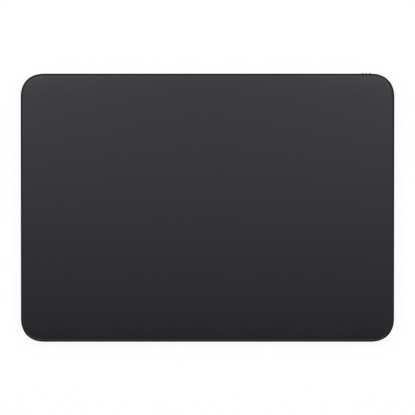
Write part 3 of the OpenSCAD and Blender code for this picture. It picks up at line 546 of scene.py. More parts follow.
def copying_tree():
    """Geometry nodes that set copies of one shape in columns, rows and layers about a middle point."""
    tree = bpy.data.node_groups.new("copies_in_rows", "GeometryNodeTree")
    for name, kind in (
        ("Shape", "NodeSocketObject"), ("Middle", "NodeSocketVector"), ("Finish", "NodeSocketMaterial"),
        ("Columns", "NodeSocketInt"), ("Column step", "NodeSocketVector"),
        ("Rows", "NodeSocketInt"), ("Row step", "NodeSocketVector"),
        ("Layers", "NodeSocketInt"), ("Layer step", "NodeSocketVector"),
    ):
        tree.interface.new_socket(name, in_out="INPUT", socket_type=kind)
    tree.interface.new_socket("Geometry", in_out="OUTPUT", socket_type="NodeSocketGeometry")
    given = add_node(tree, "NodeGroupInput").outputs

    def repeated(shape, count, step, middle=(0, 0, 0)):
        """Copies of a shape in a line, as many on one side of the middle as on the other."""
        half = reckoned(tree, "MULTIPLY", reckoned(tree, "ADD", count, -1.0), -0.5)
        back = add_node(tree, "ShaderNodeVectorMath", {0: step, "Scale": half}, operation="SCALE")
        start = add_node(tree, "ShaderNodeVectorMath", {0: back.outputs[0], 1: middle}, operation="ADD")
        line = add_node(tree, "GeometryNodeMeshLine", {
            "Count": count, "Start Location": start.outputs[0], "Offset": step,
        })
        set_out = add_node(tree, "GeometryNodeInstanceOnPoints", {
            "Points": line.outputs["Mesh"], "Instance": shape,
        })
        return set_out.outputs["Instances"]

    single = add_node(tree, "GeometryNodeObjectInfo", {"Object": given["Shape"], "As Instance": True})
    columns = repeated(single.outputs["Geometry"], given["Columns"], given["Column step"])
    rows = repeated(columns, given["Rows"], given["Row step"])
    layers = repeated(rows, given["Layers"], given["Layer step"], given["Middle"])
    real = add_node(tree, "GeometryNodeRealizeInstances", {"Geometry": layers})
    coated = add_node(tree, "GeometryNodeSetMaterial", {
        "Geometry": real.outputs["Geometry"], "Material": given["Finish"],
    })
    add_node(tree, "NodeGroupOutput", {"Geometry": coated.outputs["Geometry"]})
    return tree


copies_in_rows = copying_tree()
once = (1, (0, 0, 0))


def copies(name, shape, material, middle, columns, rows=once, layers=once):
    """Like pieces in one mesh about a middle point, from one shape; each way has a count and a step."""
    made = piece(name, bmesh.new())
    model = piece(name + "_shape", shape)
    step = made.modifiers.new("copies", "NODES")
    step.node_group = copies_in_rows
    given = {
        "Shape": model, "Middle": middle, "Finish": material,
        "Columns": columns[0], "Column step": columns[1],
        "Rows": rows[0], "Row step": rows[1],
        "Layers": layers[0], "Layer step": layers[1],
    }
    for item in copies_in_rows.interface.items_tree:
        if item.in_out == "INPUT":
            step[item.identifier] = given[item.name]
    settle(made)
    bpy.data.objects.remove(model)
    return made


def turned_disc(r, t, low_round, high_round):
    """A disc that stands on the origin, with both of its edges rounded."""
    rings = [disc_ring(0, 0, rise, r - inset) for inset, rise in edge_under(low_round, steps=6)]
    rings += [disc_ring(0, 0, t - drop, r - inset) for inset, drop in edge_over(high_round, steps=6)]
    return loft(rings)


foot_rubber = grained(
    "foot_rubber", tone(22, 22, 23), tone(32, 32, 33),
    grain=0.12 * MM, rough=(0.75, 0.9), relief=0.006 * MM, specular_ior_level=0.3,
)
foot_shape = turned_disc(foot_r, foot_high.z, foot_round, foot_top_round)
feet = copies(
    "feet", foot_shape, foot_rubber, (0, 0, 0), (2, (2 * foot_mid.x, 0, 0)), (2, (0, 2 * foot_mid.y, 0)),
)
smooth(feet)
fit(feet, foot_rubber, "base", "foot_rubber", *(f"foot_{end}_{side}" for end, side in corners))
adhesive = grained(
    "adhesive_film", tone(140, 141, 143), tone(165, 166, 168),
    grain=0.4 * MM, rough=(0.45, 0.6), relief=0.002 * MM,
)
dress(adhesive, "cover_adhesive", "glass_adhesive", "battery_adhesive")

# Force sensors: in each corner a leaf of spring steel, screwed to its post, with a strain gauge on its
# neck and a round button at its tip, which carries the touch plate. A press on the plate bends the leaf
# and its gauge.
weld = 0.001 * MM
flat_angle = math.radians(0.5)
edge_angle = math.radians(35)
bend_steps = 8


def merged(node):
    """A copy of a plain solid as one skin, without the lines that cross its flat faces."""
    skin = bmesh.new()
    skin.from_mesh(frame["nodes"][node].data)
    bmesh.ops.remove_doubles(skin, verts=skin.verts, dist=weld)
    bmesh.ops.dissolve_limit(skin, angle_limit=flat_angle, verts=skin.verts, edges=skin.edges)
    return skin


def cut_across(skin, root, tip):
    """Lines across a springy piece, at even steps from its root to its tip."""
    for i in range(bend_steps + 1):
        whole = skin.verts[:] + skin.edges[:] + skin.faces[:]
        spot = root.lerp(tip, i / bend_steps)
        bmesh.ops.bisect_plane(skin, geom=whole, dist=weld, plane_co=spot, plane_no=tip - root)


def finished(node, material, slot, edge, body="base", bend=None):
    """A copy of a plain solid with its edges broken, as on the made piece, in the solid's place."""
    skin = merged(node)
    sharp = [line for line in skin.edges if line.is_manifold and line.calc_face_angle() > edge_angle]
    break_edges(skin, sharp, edge, clamp=True)
    if bend:
        cut_across(skin, *bend)
    made = piece(node + "_finished", skin)
    smooth(made)
    fit(made, material, body, slot, node, bend=bend)


def solid_boxes(node, level):
    """The box of each separate solid in a piece, along the axes that a matrix turns level."""
    skin = merged(node)
    waiting = set(skin.verts)
    boxes = []
    while waiting:
        group = [waiting.pop()]
        for vert in group:
            near = [line.other_vert(vert) for line in vert.link_edges]
            new = [other for other in dict.fromkeys(near) if other in waiting]
            waiting.difference_update(new)
            group += new
        boxes.append(box_round([level @ vert.co for vert in group]))
    skin.free()
    return sorted(boxes, key=lambda box: (round(box[0].y, 6), round(box[0].x, 6)))


def leaned(made):
    """Puts a piece that was made level on the leaning deck."""
    made.data.transform(lean)


# The sockets of a node that mixes two colours: share, first, second and result
mix_share, mix_first, mix_second, mix_result = 0, 6, 7, 2


def inlaid(made, colour, pattern):
    """Adds a second colour to a material, where a pattern of nodes in its tree says so."""
    tree = made.node_tree
    base = tree.nodes["Principled BSDF"].inputs["Base Color"]
    colours = {mix_share: pattern(tree), mix_first: base.links[0].from_socket, mix_second: colour}
    mix = add_node(tree, "ShaderNodeMix", colours, data_type="RGBA")
    tree.links.new(mix.outputs[mix_result], base)
    return made


# A line's soft edge, in parts of the pitch from the middle between two lines
line_edge = (0.22, 0.28)


def lined_film(name, line_colour, across, pitch):
    """Amber film with metal lines in it at an even pitch, by a point's place across them."""
    def stripes(tree):
        place = add_node(tree, "ShaderNodeTexCoord").outputs["Object"]
        axes = add_node(tree, "ShaderNodeSeparateXYZ", {"Vector": place}).outputs
        swing = reckoned(tree, "PINGPONG", across(tree, axes["X"], axes["Y"]), pitch / 2)
        line = add_node(tree, "ShaderNodeMapRange", {
            "Value": swing, "From Min": line_edge[0] * pitch, "From Max": line_edge[1] * pitch,
        })
        return line.outputs["Result"]

    amber = grained(
        name, tone(128, 76, 20), tone(150, 92, 28), grain=0.5 * MM, rough=(0.3, 0.42), relief=0.003 * MM,
    )
    return inlaid(amber, line_colour, stripes)


def up_the_slope(tree, x, y):
    """A point's place across lines that run from side to side."""
    return y


bright_steel = grained(
    "bright_steel", tone(170, 172, 175), tone(196, 198, 200),
    grain=0.06 * MM, rough=(0.25, 0.4), relief=0.002 * MM, stretch=(0.04, 1, 1), metallic=1.0,
)
dark_steel = grained(
    "dark_steel", tone(74, 76, 79), tone(96, 98, 101),
    grain=0.1 * MM, rough=(0.35, 0.5), relief=0.003 * MM, metallic=1.0,
)
button_low, button_high = deck_box("load_buttons")
button_r = 2.6 * MM
button_round = 0.12 * MM
button_x = button_high.x - button_r
leaf_edge = 0.04 * MM
gauge_pitch = 0.3 * MM
gauge_edge = 0.02 * MM
gauge_film = lined_film("gauge_film", tone(176, 172, 164), up_the_slope, gauge_pitch)
for (end, side), (low, high) in zip(corners, solid_boxes("strain_gauges", lean.inverted())):
    sign = 1 if side == "right" else -1
    leaf_bend = [Vector((sign * x, 0, 0)) for x in (post_in_x, button_x + button_r)]
    finished(f"flexure_{end}_{side}", bright_steel, "bright_steel", leaf_edge, bend=leaf_bend)
    strip = block(low, high)
    break_edges(strip, strip.edges[:], gauge_edge)
    cut_across(strip, *leaf_bend)
    gauge = piece(f"gauge_{end}_{side}", strip)
    leaned(gauge)
    smooth(gauge)
    fit(gauge, gauge_film, "base", "polyimide_film", "strain_gauges", bend=leaf_bend)

button_mid_y = sum(button_ys) / 2
button_span = button_ys[1] - button_ys[0]
button_shape = turned_disc(button_r, button_high.z - button_low.z, button_round, button_round)
buttons = copies(
    "round_buttons", button_shape, dark_steel, (0, button_mid_y, button_low.z),
    (2, (2 * button_x, 0, 0)), (2, (0, button_span, 0)),
)
leaned(buttons)
smooth(buttons)
fit(buttons, dark_steel, "force_buttons", "dark_steel", "load_buttons")

# Screws: small machine screws of blackened steel, each with a low rounded head, a six-lobed socket and
# a rolled thread. They hold the leaves, the drive, the boards and the brackets to the tray.
head_h = 0.45 * MM
head_round = 0.15 * MM
head_under = 0.05 * MM
socket_r = 0.55 * MM
socket_lobe = 0.09 * MM
socket_depth = 0.26 * MM
lobes = 6
thread_pitch = 0.3 * MM
thread_depth = 0.11 * MM
rings_a_turn = 6
screw_steps = 36


def screw_shape(shank_l):
    """A screw whose head stands on the origin, with its shank below."""
    def socket(a):
        return socket_r + socket_lobe * math.cos(lobes * a)

    rings = []
    count = round(shank_l / thread_pitch * rings_a_turn)
    for i in range(count):
        z = -shank_l * (1 - i / count)
        climb = 2 * math.pi * z / thread_pitch
        rings.append(disc_ring(
            0, 0, z, lambda a: screw_r - thread_depth * (1 + math.cos(a - climb)) / 2, screw_steps
        ))
    rings.append(disc_ring(0, 0, 0, screw_r, screw_steps))
    rings.append(disc_ring(0, 0, 0, head_r - head_under, screw_steps))
    rings.append(disc_ring(0, 0, head_under, head_r, screw_steps))
    for inset, drop in edge_over(head_round, steps=4):
        rings.append(disc_ring(0, 0, head_h - drop, head_r - inset, screw_steps))
    rings.append(disc_ring(0, 0, head_h, socket, screw_steps))
    rings.append(disc_ring(0, 0, head_h - socket_depth, socket, screw_steps))
    return loft(rings)


def screwed(node, leaning=False, pair=0):
    """One group's screws: one at each corner of their box or end of their row, or two a pair apart."""
    low, high = deck_box(node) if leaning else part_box(node)
    across = high.x - low.x - 2 * head_r
    along = high.y - low.y - 2 * head_r
    made = copies(
        node + "_turned", screw_shape(high.z - low.z - head_h), dark_steel,
        ((low.x + high.x) / 2, (low.y + high.y) / 2, high.z - head_h), (2, (across, 0, 0)),
        (2, (0, along - pair, 0)) if along > head_r else once, (2, (0, pair, 0)) if pair else once,
    )
    if leaning:
        leaned(made)
    smooth(made)
    fit(made, dark_steel, "base", "dark_steel", node)


screwed("flexure_screws", leaning=True, pair=2 * flexure_screw_side)

# Haptic drive: two stacks of E-shaped laminations on a steel plate, each with a copper coil on its
# middle leg. They pull the steel bar that is glued under the sensor board.
plate_edge = 0.06 * MM
finished("drive_frame", dark_steel, "dark_steel", plate_edge)
screwed("drive_screws", leaning=True)
sheet_count = 4
sheet_space = 0.02 * MM
core_back_w = 2.5 * MM
core_leg_w = 6 * MM
wire_r = 0.15 * MM
wire_sides = 8
bundle_round = 0.45 * MM
leg_space = 0.03 * MM
laminations = grained(
    "core_laminations", tone(78, 80, 84), tone(104, 106, 110),
    grain=0.2 * MM, rough=(0.4, 0.55), relief=0.008 * MM, stretch=(0.2, 0.2, 1), metallic=0.9,
)
copper = grained(
    "copper_winding", tone(168, 98, 52), tone(196, 120, 66),
    grain=0.2 * MM, rough=(0.25, 0.4), relief=0.004 * MM, metallic=0.9,
)


def sheet_outline(low, high):
    """An E with its three legs to the front, counter-clockwise."""
    leg_y = high.y - core_back_w
    mid_x = (low.x + high.x) / 2
    legs = ((low.x, low.x + core_back_w), (mid_x - core_leg_w / 2, mid_x + core_leg_w / 2),
            (high.x - core_back_w, high.x))
    points = []
    for left, right in legs:
        points += [(left, leg_y), (left, low.y), (right, low.y), (right, leg_y)]
    return points[1:-1] + [(high.x, high.y), (low.x, high.y)]


def round_corners(half_w, half_h, r, steps):
    """A rectangle with round corners about the origin, counter-clockwise."""
    points = []
    for turn, (sx, sy) in enumerate(quarters):
        for i in range(steps + 1):
            a = math.pi / 2 * (turn + i / steps)
            points.append((sx * (half_w - r) + r * math.cos(a), sy * (half_h - r) + r * math.sin(a)))
    return points


def round_loop(half_w, half_h, r, y):
    """An upright rectangle with round corners, at a place up the slope."""
    return [Vector((x, y, z)) for x, z in round_corners(half_w, half_h, r, steps=4)]


def swept(path, section, up):
    """A closed skin of one section, given by its side and up measures, carried along a path."""
    rings = []
    for i, spot in enumerate(path):
        ahead = path[min(i + 1, len(path) - 1)] - path[max(i - 1, 0)]
        side = ahead.cross(up).normalized()
        rings.append([spot + side * s + up * u for s, u in section])
    return loft(rings)


wire_section = [(point.x, point.y) for point in disc_ring(0, 0, 0, wire_r, wire_sides)]
for side in ("left", "right"):
    low, high = deck_box(f"drive_core_{side}")
    pitch = (high.z - low.z) / sheet_count
    half_t = (pitch - sheet_space) / 2
    plate = loft([[Vector((x, y, z)) for x, y in sheet_outline(low, high)] for z in (-half_t, half_t)])
    core = copies(
        f"core_sheets_{side}", plate, laminations, (0, 0, (low.z + high.z) / 2),
        (sheet_count, (0, 0, pitch)),
    )
    leaned(core)
    smooth(core)
    fit(core, laminations, "base", "core_laminations", f"drive_core_{side}")

    inner_w, inner_h = core_leg_w / 2 + leg_space, (high.z - low.z) / 2 + leg_space
    low, high = deck_box(f"drive_coil_{side}")
    half_w = (high.x - low.x) / 2
    half_h = (high.z - low.z) / 2
    turns = int((high.y - low.y) / (2 * wire_r))
    rise = (high.y - low.y - 2 * wire_r) / turns
    turn = round_loop(half_w - wire_r, half_h - wire_r, bundle_round, 0)
    path = [
        turn[i % len(turn)] + Vector((0, low.y + wire_r + rise * i / len(turn), 0))
        for i in range(turns * len(turn) + 1)
    ]
    bundle_w, bundle_h, bundle_r = half_w - 2 * wire_r, half_h - 2 * wire_r, bundle_round - wire_r
    bundle = loft([
        round_loop(bundle_w, bundle_h, bundle_r, low.y), round_loop(bundle_w, bundle_h, bundle_r, high.y),
        round_loop(inner_w, inner_h, leg_space, high.y), round_loop(inner_w, inner_h, leg_space, low.y),
    ], hollow=True)
    winding = together([bundle, swept(path, wire_section, Vector((0, 1, 0)))])
    centre = Vector(((low.x + high.x) / 2, 0, (low.z + high.z) / 2))
    bmesh.ops.translate(winding, vec=centre, verts=winding.verts)
    coil = piece(f"coil_turns_{side}", winding)
    leaned(coil)
    smooth(coil)
    fit(coil, copper, "base", "copper_winding", f"drive_coil_{side}")

line_pitch = 0.8 * MM
copper_line = tone(184, 116, 52)
straight_cable = lined_film("straight_cable", copper_line, up_the_slope, line_pitch)
dress(straight_cable, "drive_flex", "battery_flex")

# Battery: a flat pouch cell in grey foil, on two strips of film. Two nickel leads come out of its sealed
# end and are welded to the guard board that lies there.
cell_w = 88 * MM
cell_round = 0.9 * MM
cell_corner = 2 * MM
cell_dome = 0.12 * MM
dome_inset = 5 * MM
terrace_t = 0.5 * MM
cell_x1 = cell_low.x + cell_w
cell_half_d = (cell_high.y - cell_low.y) / 2


def cell_ring(inset, z):
    """The cell's plan with round corners, taken in all round."""
    r = max(cell_corner - inset, cell_round / 2)
    plan = round_corners(cell_w / 2 - inset, cell_half_d - inset, r, steps=8)
    return [Vector((cell_low.x + cell_w / 2 + x, cell_low.y + cell_half_d + y, z)) for x, y in plan]


edge_z = cell_high.z - cell_dome
cell_rings = [cell_ring(inset, cell_low.z + rise) for inset, rise in edge_under(cell_round, steps=6)]
cell_rings += [cell_ring(inset, edge_z - drop) for inset, drop in edge_over(cell_round, steps=6)]
for a in quarter_turn(6)[1:]:
    inset = cell_round + dome_inset * (1 - math.cos(a))
    cell_rings.append(cell_ring(inset, edge_z + cell_dome * math.sin(a)))
cell = piece("pouch_cell", loft(cell_rings))
terrace = block(
    (cell_x1 - cell_corner, cell_low.y + cell_corner, cell_low.z),
    (cell_high.x, cell_high.y - cell_corner, cell_low.z + terrace_t),
)
joined(cell, piece("terrace", terrace), "UNION")
smooth(cell)
foil = grained(
    "battery_foil", tone(92, 95, 99), tone(112, 115, 119),
    grain=0.9 * MM, rough=(0.32, 0.46), relief=0.02 * MM, metallic=0.7,
)
fit(cell, foil, "base", "battery_foil", "battery_pouch")

# Spacing, rows and width of the tracks, in millimetres, as the pattern is scaled
track_l = 2.6
track_row = 0.9
track_line = 0.08


def tracks(tree):
    """Copper tracks under a board's mask, as the joints of a fine running bond."""
    place = add_node(tree, "ShaderNodeTexCoord").outputs["Object"]
    bond = add_node(tree, "ShaderNodeTexBrick", {
        "Vector": place, "Scale": 1 / MM, "Mortar Size": track_line,
        "Brick Width": track_l, "Row Height": track_row,
    })
    return bond.outputs["Fac"]


def upright_block(width, depth, low, high):
    """A box about the upright axis, between two heights."""
    return block((-width / 2, -depth / 2, low), (width / 2, depth / 2, high))


board_edge = 0.06 * MM
board_mask = grained(
    "circuit_board", tone(26, 66, 46), tone(34, 80, 56),
    grain=0.6 * MM, rough=(0.35, 0.5), relief=0.006 * MM,
)
inlaid(board_mask, tone(48, 104, 72), tracks)
finished("battery_board", board_mask, "circuit_board", board_edge)
guard_low, guard_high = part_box("battery_board")
guard_mid = (guard_low + guard_high) / 2
lead_l = 3.0 * MM
lead_w = 3.4 * MM
lead_t = 0.1 * MM
lead_pitch = 7 * MM
lead_in = 0.8 * MM
leads = copies(
    "cell_leads", block((0, -lead_w / 2, 0), (lead_l, lead_w / 2, lead_t)), bright_steel,
    (cell_x1 - lead_in, guard_high.y - lead_pitch, guard_high.z), (2, (0, lead_pitch, 0)),
)
fit(leads, bright_steel, "base", "bright_steel")
guard_chip_count = 3
guard_chip_w = 1.8 * MM
guard_chip_d = 2.4 * MM
guard_chip_h = 0.6 * MM
guard_chip_pitch = 3.4 * MM
chip_resin = grained(
    "moulded_black", tone(28, 28, 30), tone(40, 40, 42),
    grain=0.1 * MM, rough=(0.45, 0.6), relief=0.004 * MM,
)
guard_chip = upright_block(guard_chip_w, guard_chip_d, 0, guard_chip_h)
break_edges(guard_chip, guard_chip.edges[:], board_edge)
guard_chips = copies(
    "guard_board_chips", guard_chip, chip_resin, (guard_mid.x, guard_mid.y, guard_high.z),
    (guard_chip_count, (0, guard_chip_pitch, 0)),
)
smooth(guard_chips)
fit(guard_chips, chip_resin, "base", "moulded_black")

# Logic board: a board on four stand-offs with its chips, a tin can over the radio, a folded strip as
# the antenna, and sockets for the flat cables. The chips and small parts are soldered down. The cable
# from the sensor board gives with each press.
chip_edge = 0.1 * MM
can_edge = 0.25 * MM
antenna_edge = 0.06 * MM
plug_edge = 0.08 * MM
finished("logic_board", board_mask, "circuit_board", board_edge)
screwed("logic_screws")
finished("logic_chips", chip_resin, "moulded_black", chip_edge)
finished("shield_can", bright_steel, "bright_steel", can_edge)
finished("antenna", bright_steel, "bright_steel", antenna_edge)
finished("flex_plugs", chip_resin, "moulded_black", plug_edge)
leg_w = 0.24 * MM
leg_l = 0.3 * MM
leg_h = 0.14 * MM
leg_pitch = 0.6 * MM
chip_least_w = 3 * MM
cap_l = 0.36 * MM
cap_over = 0.03 * MM


def gathered(name, group):
    """One piece out of several."""
    skin = bmesh.new()
    for made in group:
        skin.from_mesh(made.data)
        bpy.data.objects.remove(made)
    return piece(name, skin)


def soldered(name, node, body, place=Matrix(), hanging=False):
    """Tin legs along the sides of the chips, and tin ends on the rows of small parts between them."""
    group = []
    small_rows = {}
    for low, high in solid_boxes(node, place.inverted()):
        mid = (low + high) / 2
        size = high - low
        if size.x < chip_least_w:
            small_rows.setdefault(round(mid.y, 6), []).append((low, high))
            continue
        foot = (mid.x, mid.y, high.z - leg_h if hanging else low.z)
        for side_l, leg_x, leg_y, along, apart in (
            (size.x, leg_w, leg_l, (leg_pitch, 0, 0), (0, size.y + leg_l, 0)),
            (size.y, leg_l, leg_w, (0, leg_pitch, 0), (size.x + leg_l, 0, 0)),
        ):
            leg = upright_block(leg_x, leg_y, 0, leg_h)
            count = int(side_l / leg_pitch) - 1
            group.append(copies(name, leg, bright_steel, foot, (count, along), (2, apart)))
    for row in small_rows.values():
        first, last = row[0][0], row[-1][1]
        size = row[0][1] - row[0][0]
        low_z, high_z = (-size.z - cap_over, 0) if hanging else (0, size.z + cap_over)
        cap = upright_block(cap_l, size.y + 2 * cap_over, low_z, high_z)
        pitch = (last.x - first.x - size.x) / (len(row) - 1)
        middle = ((first.x + last.x) / 2, (first.y + last.y) / 2, last.z if hanging else first.z)
        ends = (2, (size.x - cap_l + 2 * cap_over, 0, 0))
        group.append(copies(name, cap, bright_steel, middle, ends, (len(row), (pitch, 0, 0))))
    made = gathered(name, group)
    made.data.transform(place)
    smooth(made)
    fit(made, bright_steel, body, "bright_steel")


soldered("logic_solder", "logic_chips", "base")
cable_edge = 0.02 * MM
cable_low, cable_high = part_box("sensor_flex")
cable_points = [vert.co for vert in frame["nodes"]["sensor_flex"].data.vertices]
fold_foot = min(point.x for point in cable_points if point.z < cable_low.z + weld)
fold_top = max(point.x for point in cable_points if point.z > cable_high.z - weld)
cable_bend = [Vector((x, 0, 0)) for x in (fold_foot, fold_top)]
finished("sensor_flex", straight_cable, "polyimide_film", cable_edge, bend=cable_bend)
gilt = grained(
    "gilt_contacts", tone(196, 158, 72), tone(216, 180, 96),
    grain=0.1 * MM, rough=(0.18, 0.3), relief=0.001 * MM, metallic=1.0,
)
board_low, board_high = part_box("logic_board")
probe_columns = 6
probe_rows = 2
probe_r = 0.42 * MM
probe_t = 0.03 * MM
probe_pitch = 1.6 * MM
probe_in = Vector((17.5 * MM, 27 * MM, 0))
probe_shape = loft([disc_ring(0, 0, z, probe_r, hole_steps) for z in (0, probe_t)])
probe_mid = Vector((board_low.x, board_low.y, board_high.z)) + probe_in
probes = copies(
    "probe_pads", probe_shape, gilt, probe_mid,
    (probe_columns, (probe_pitch, 0, 0)), (probe_rows, (0, probe_pitch, 0)),
)
smooth(probes)
fit(probes, gilt, "base", "gilt_contacts")

# Charging port: a drawn steel sleeve in the rear wall, round a plastic tongue with gilt contacts on
# both of its faces. A strap holds it down on its small board.
sleeve_t = 0.3 * MM
lip_r = 0.1 * MM
mouth_y = port_high.y
back_y = port_low.y


def sleeve_ring(inset, y):
    """The sleeve's outline, taken in all round."""
    return stadium_ring(port_w - 2 * inset, port_h - 2 * inset, port_mid.x, y, mid_z, steps=20)


sleeve_rings = [sleeve_ring(0, back_y), sleeve_ring(0, mouth_y - lip_r - hold)]
sleeve_rings += [sleeve_ring(inset, mouth_y - drop) for inset, drop in edge_over(lip_r, steps=4)]
sleeve_rings += [
    sleeve_ring(sleeve_t - inset, mouth_y - rise) for inset, rise in edge_under(lip_r, steps=4)
]
sleeve_rings.append(sleeve_ring(sleeve_t, back_y + sleeve_t))
sleeve = piece("port_sleeve", loft(sleeve_rings))
smooth(sleeve)
fit(sleeve, bright_steel, "base", "bright_steel", "port_shell")

tongue_low, tongue_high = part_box("port_tongue")
tongue_w = 6.68 * MM
tongue_t = 0.7 * MM
tongue_bevel = 0.18 * MM
base_l = 2.2 * MM
base_clearance = 0.03 * MM
base_in = sleeve_t + base_clearance


def tongue_ring(inset, y):
    """The tongue's flat section, taken in all round."""
    return stadium_ring(tongue_w - 2 * inset, tongue_t - 2 * inset, port_mid.x, y, mid_z, steps=6)


tongue_rings = [tongue_ring(0, tongue_low.y + base_l / 2), tongue_ring(0, tongue_high.y - tongue_bevel)]
for inset, drop in edge_over(tongue_bevel, steps=3)[1:]:
    tongue_rings.append(tongue_ring(inset, tongue_high.y - drop))
tongue = piece("port_tongue_moulded", loft(tongue_rings))
tongue_base = loft([sleeve_ring(base_in, y) for y in (tongue_low.y, tongue_low.y + base_l)])
joined(tongue, piece("tongue_base", tongue_base), "UNION")
smooth(tongue)
fit(tongue, chip_resin, "base", "moulded_black", "port_tongue")

pin_low, pin_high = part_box("port_contacts")
pin_count = 12
pin_w = 0.26 * MM
pin_t = 0.06 * MM
pin_edge = 0.02 * MM
pin_pitch = (pin_high.x - pin_low.x - pin_w) / (pin_count - 1)
pin_shape = upright_block(pin_w, pin_high.y - pin_low.y, -pin_t / 2, pin_t / 2)
break_edges(pin_shape, pin_shape.edges[:], pin_edge)
pins = copies(
    "port_pins", pin_shape, gilt, ((pin_low.x + pin_high.x) / 2, (pin_low.y + pin_high.y) / 2, mid_z),
    (pin_count, (pin_pitch, 0, 0)), (2, (0, 0, tongue_t + pin_t)),
)
smooth(pins)
fit(pins, gilt, "base", "gilt_contacts", "port_contacts")
strap_edge = 0.08 * MM
finished("port_board", board_mask, "circuit_board", board_edge)
finished("port_strap", dark_steel, "dark_steel", strap_edge)
screwed("port_screws")
cable_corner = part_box("port_flex")[1]


def round_the_bend(tree, x, y):
    """How far a point lies in from the outer edge of a cable that turns a corner."""
    to_side = reckoned(tree, "SUBTRACT", cable_corner.x, x)
    to_rear = reckoned(tree, "SUBTRACT", cable_corner.y, y)
    return reckoned(tree, "MINIMUM", to_side, to_rear)


dress(lined_film("port_cable", copper_line, round_the_bend, line_pitch), "port_flex")

# Power switch: a ribbed knob that slides in the rear wall, with a green flag beside it that shows in the
# slot when it is on. Behind a guide plate its stem moves the lever of a small tin switch.
knob_recess = 0.2 * MM
knob_round = 0.2 * MM
knob_face_y = rear_y - knob_recess
flange_y0 = flag_low.y
flange_y1 = flag_high.y
stem_w = 2 * MM
stem_h = 1 * MM


def knob_ring(inset, y):
    """The knob's outline, taken in all round."""
    return stadium_ring(knob_l - 2 * inset, knob_h - 2 * inset, knob_x, y, mid_z, steps=20)


knob_rings = [knob_ring(0, flange_y0)]
knob_rings += [knob_ring(inset, knob_face_y - drop) for inset, drop in edge_over(knob_round, steps=4)]
knob = piece("switch_button", loft(knob_rings))
flange = block((knob_low.x, flange_y0, knob_low.z), (knob_high.x, flange_y1, knob_high.z))
stem = block(
    (knob_x - stem_w / 2, knob_low.y, mid_z - stem_h / 2),
    (knob_x + stem_w / 2, flange_y1, mid_z + stem_h / 2),
)
joined(knob, piece("flange", flange), "UNION")
joined(knob, piece("stem", stem), "UNION")
grip_count = 3
grip_pitch = 1.5 * MM
grip_t = 0.55 * MM
grip_end = 0.3 * MM
grip_l = knob_h - 2 * grip_end
grip_round = 0.26 * MM
grip_y0 = knob_face_y - knob_round


def grip_ring(inset, y):
    """The upright section of a rib on the knob, taken in all round."""
    half_t, half_l = grip_t / 2 - inset, grip_l / 2 - inset
    return [Vector((sx * half_t, y, sz * half_l)) for sx, sz in ((-1, -1), (1, -1), (1, 1), (-1, 1))]


grip_rings = [grip_ring(0, grip_y0)]
grip_rings += [grip_ring(inset, knob_high.y - drop) for inset, drop in edge_over(grip_round, steps=4)]
knob_plastic = grained(
    "knob_plastic", tone(30, 31, 33), tone(40, 41, 43),
    grain=0.1 * MM, rough=(0.45, 0.58), relief=0.004 * MM,
)
grips = copies(
    "ribs", loft(grip_rings), knob_plastic, (knob_x, 0, mid_z), (grip_count, (grip_pitch, 0, 0)),
)
joined(knob, grips, "UNION")
smooth(knob)
fit(knob, knob_plastic, "power_slider", "cover_plastic", "switch_knob")

green = grained(
    "green_plastic", tone(44, 158, 70), tone(58, 178, 84),
    grain=0.2 * MM, rough=(0.4, 0.5), relief=0.003 * MM,
)
white_plastic = grained(
    "white_plastic", tone(218, 218, 215), tone(232, 232, 229),
    grain=0.2 * MM, rough=(0.4, 0.5), relief=0.003 * MM,
)
flag_edge = 0.05 * MM
lever_edge = 0.1 * MM
guide_edge = 0.1 * MM
box_edge = 0.15 * MM
finished("switch_flag", green, "green_plastic", flag_edge, "power_slider")
finished("switch_lever", white_plastic, "white_plastic", lever_edge, "power_slider")
finished("switch_guide", knob_plastic, "cover_plastic", guide_edge)
finished("switch_box", bright_steel, "bright_steel", box_edge)
finished("switch_board", board_mask, "circuit_board", board_edge)
finished("switch_bracket", dark_steel, "dark_steel", strap_edge)
screwed("switch_screws")
cable_w = 4 * MM
jog_y0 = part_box("flexure_rear_right")[1].y + 2 * post_margin
jog_y1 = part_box("switch_bracket")[0].y
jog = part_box("switch_flex")[1].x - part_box("switch_flex")[0].x - cable_w


def along_the_jog(tree, x, y):
    """How far a point lies across a cable that shifts sideways on its way to the rear."""
    shift = add_node(tree, "ShaderNodeMapRange", {
        "Value": y, "From Min": jog_y0, "From Max": jog_y1, "To Min": 0.0, "To Max": jog,
    })
    return reckoned(tree, "SUBTRACT", x, shift.outputs["Result"])


dress(lined_film("switch_cable", copper_line, along_the_jog, line_pitch), "switch_flex")

# Touch plate: a sheet of glass, etched matte on top, printed black behind. It is level but for its last
# centimetre, which falls away a little towards a soft rounding and a narrow bevel. The sensor board is
# glued under it, and pads of gel set it on the buttons.
glass_inset = 0.53 * MM
glass_t = 0.8 * MM
glass_crown_w = 9.3 * MM
glass_crown_drop = 0.18 * MM
glass_round_w = 1.9 * MM
glass_round_drop = 0.15 * MM
glass_bevel_w = 0.5 * MM
glass_bevel_drop = 0.105 * MM
glass_under_bevel = 0.06 * MM
bevel_steps = 10
round_steps = 10
crown_steps = 12


def glass_ring(from_edge):
    """The glass's upper face at a distance in from its edge."""
    widths = (glass_crown_w, glass_round_w, glass_bevel_w)
    crown, turned, bevelled = (max(0, 1 - from_edge / width) for width in widths)
    drop = glass_crown_drop * crown ** 2
    drop += glass_round_drop * (1 - math.sqrt(1 - turned ** 2))
    drop += glass_bevel_drop * bevelled
    return deck_ring(glass_inset + from_edge, drop)


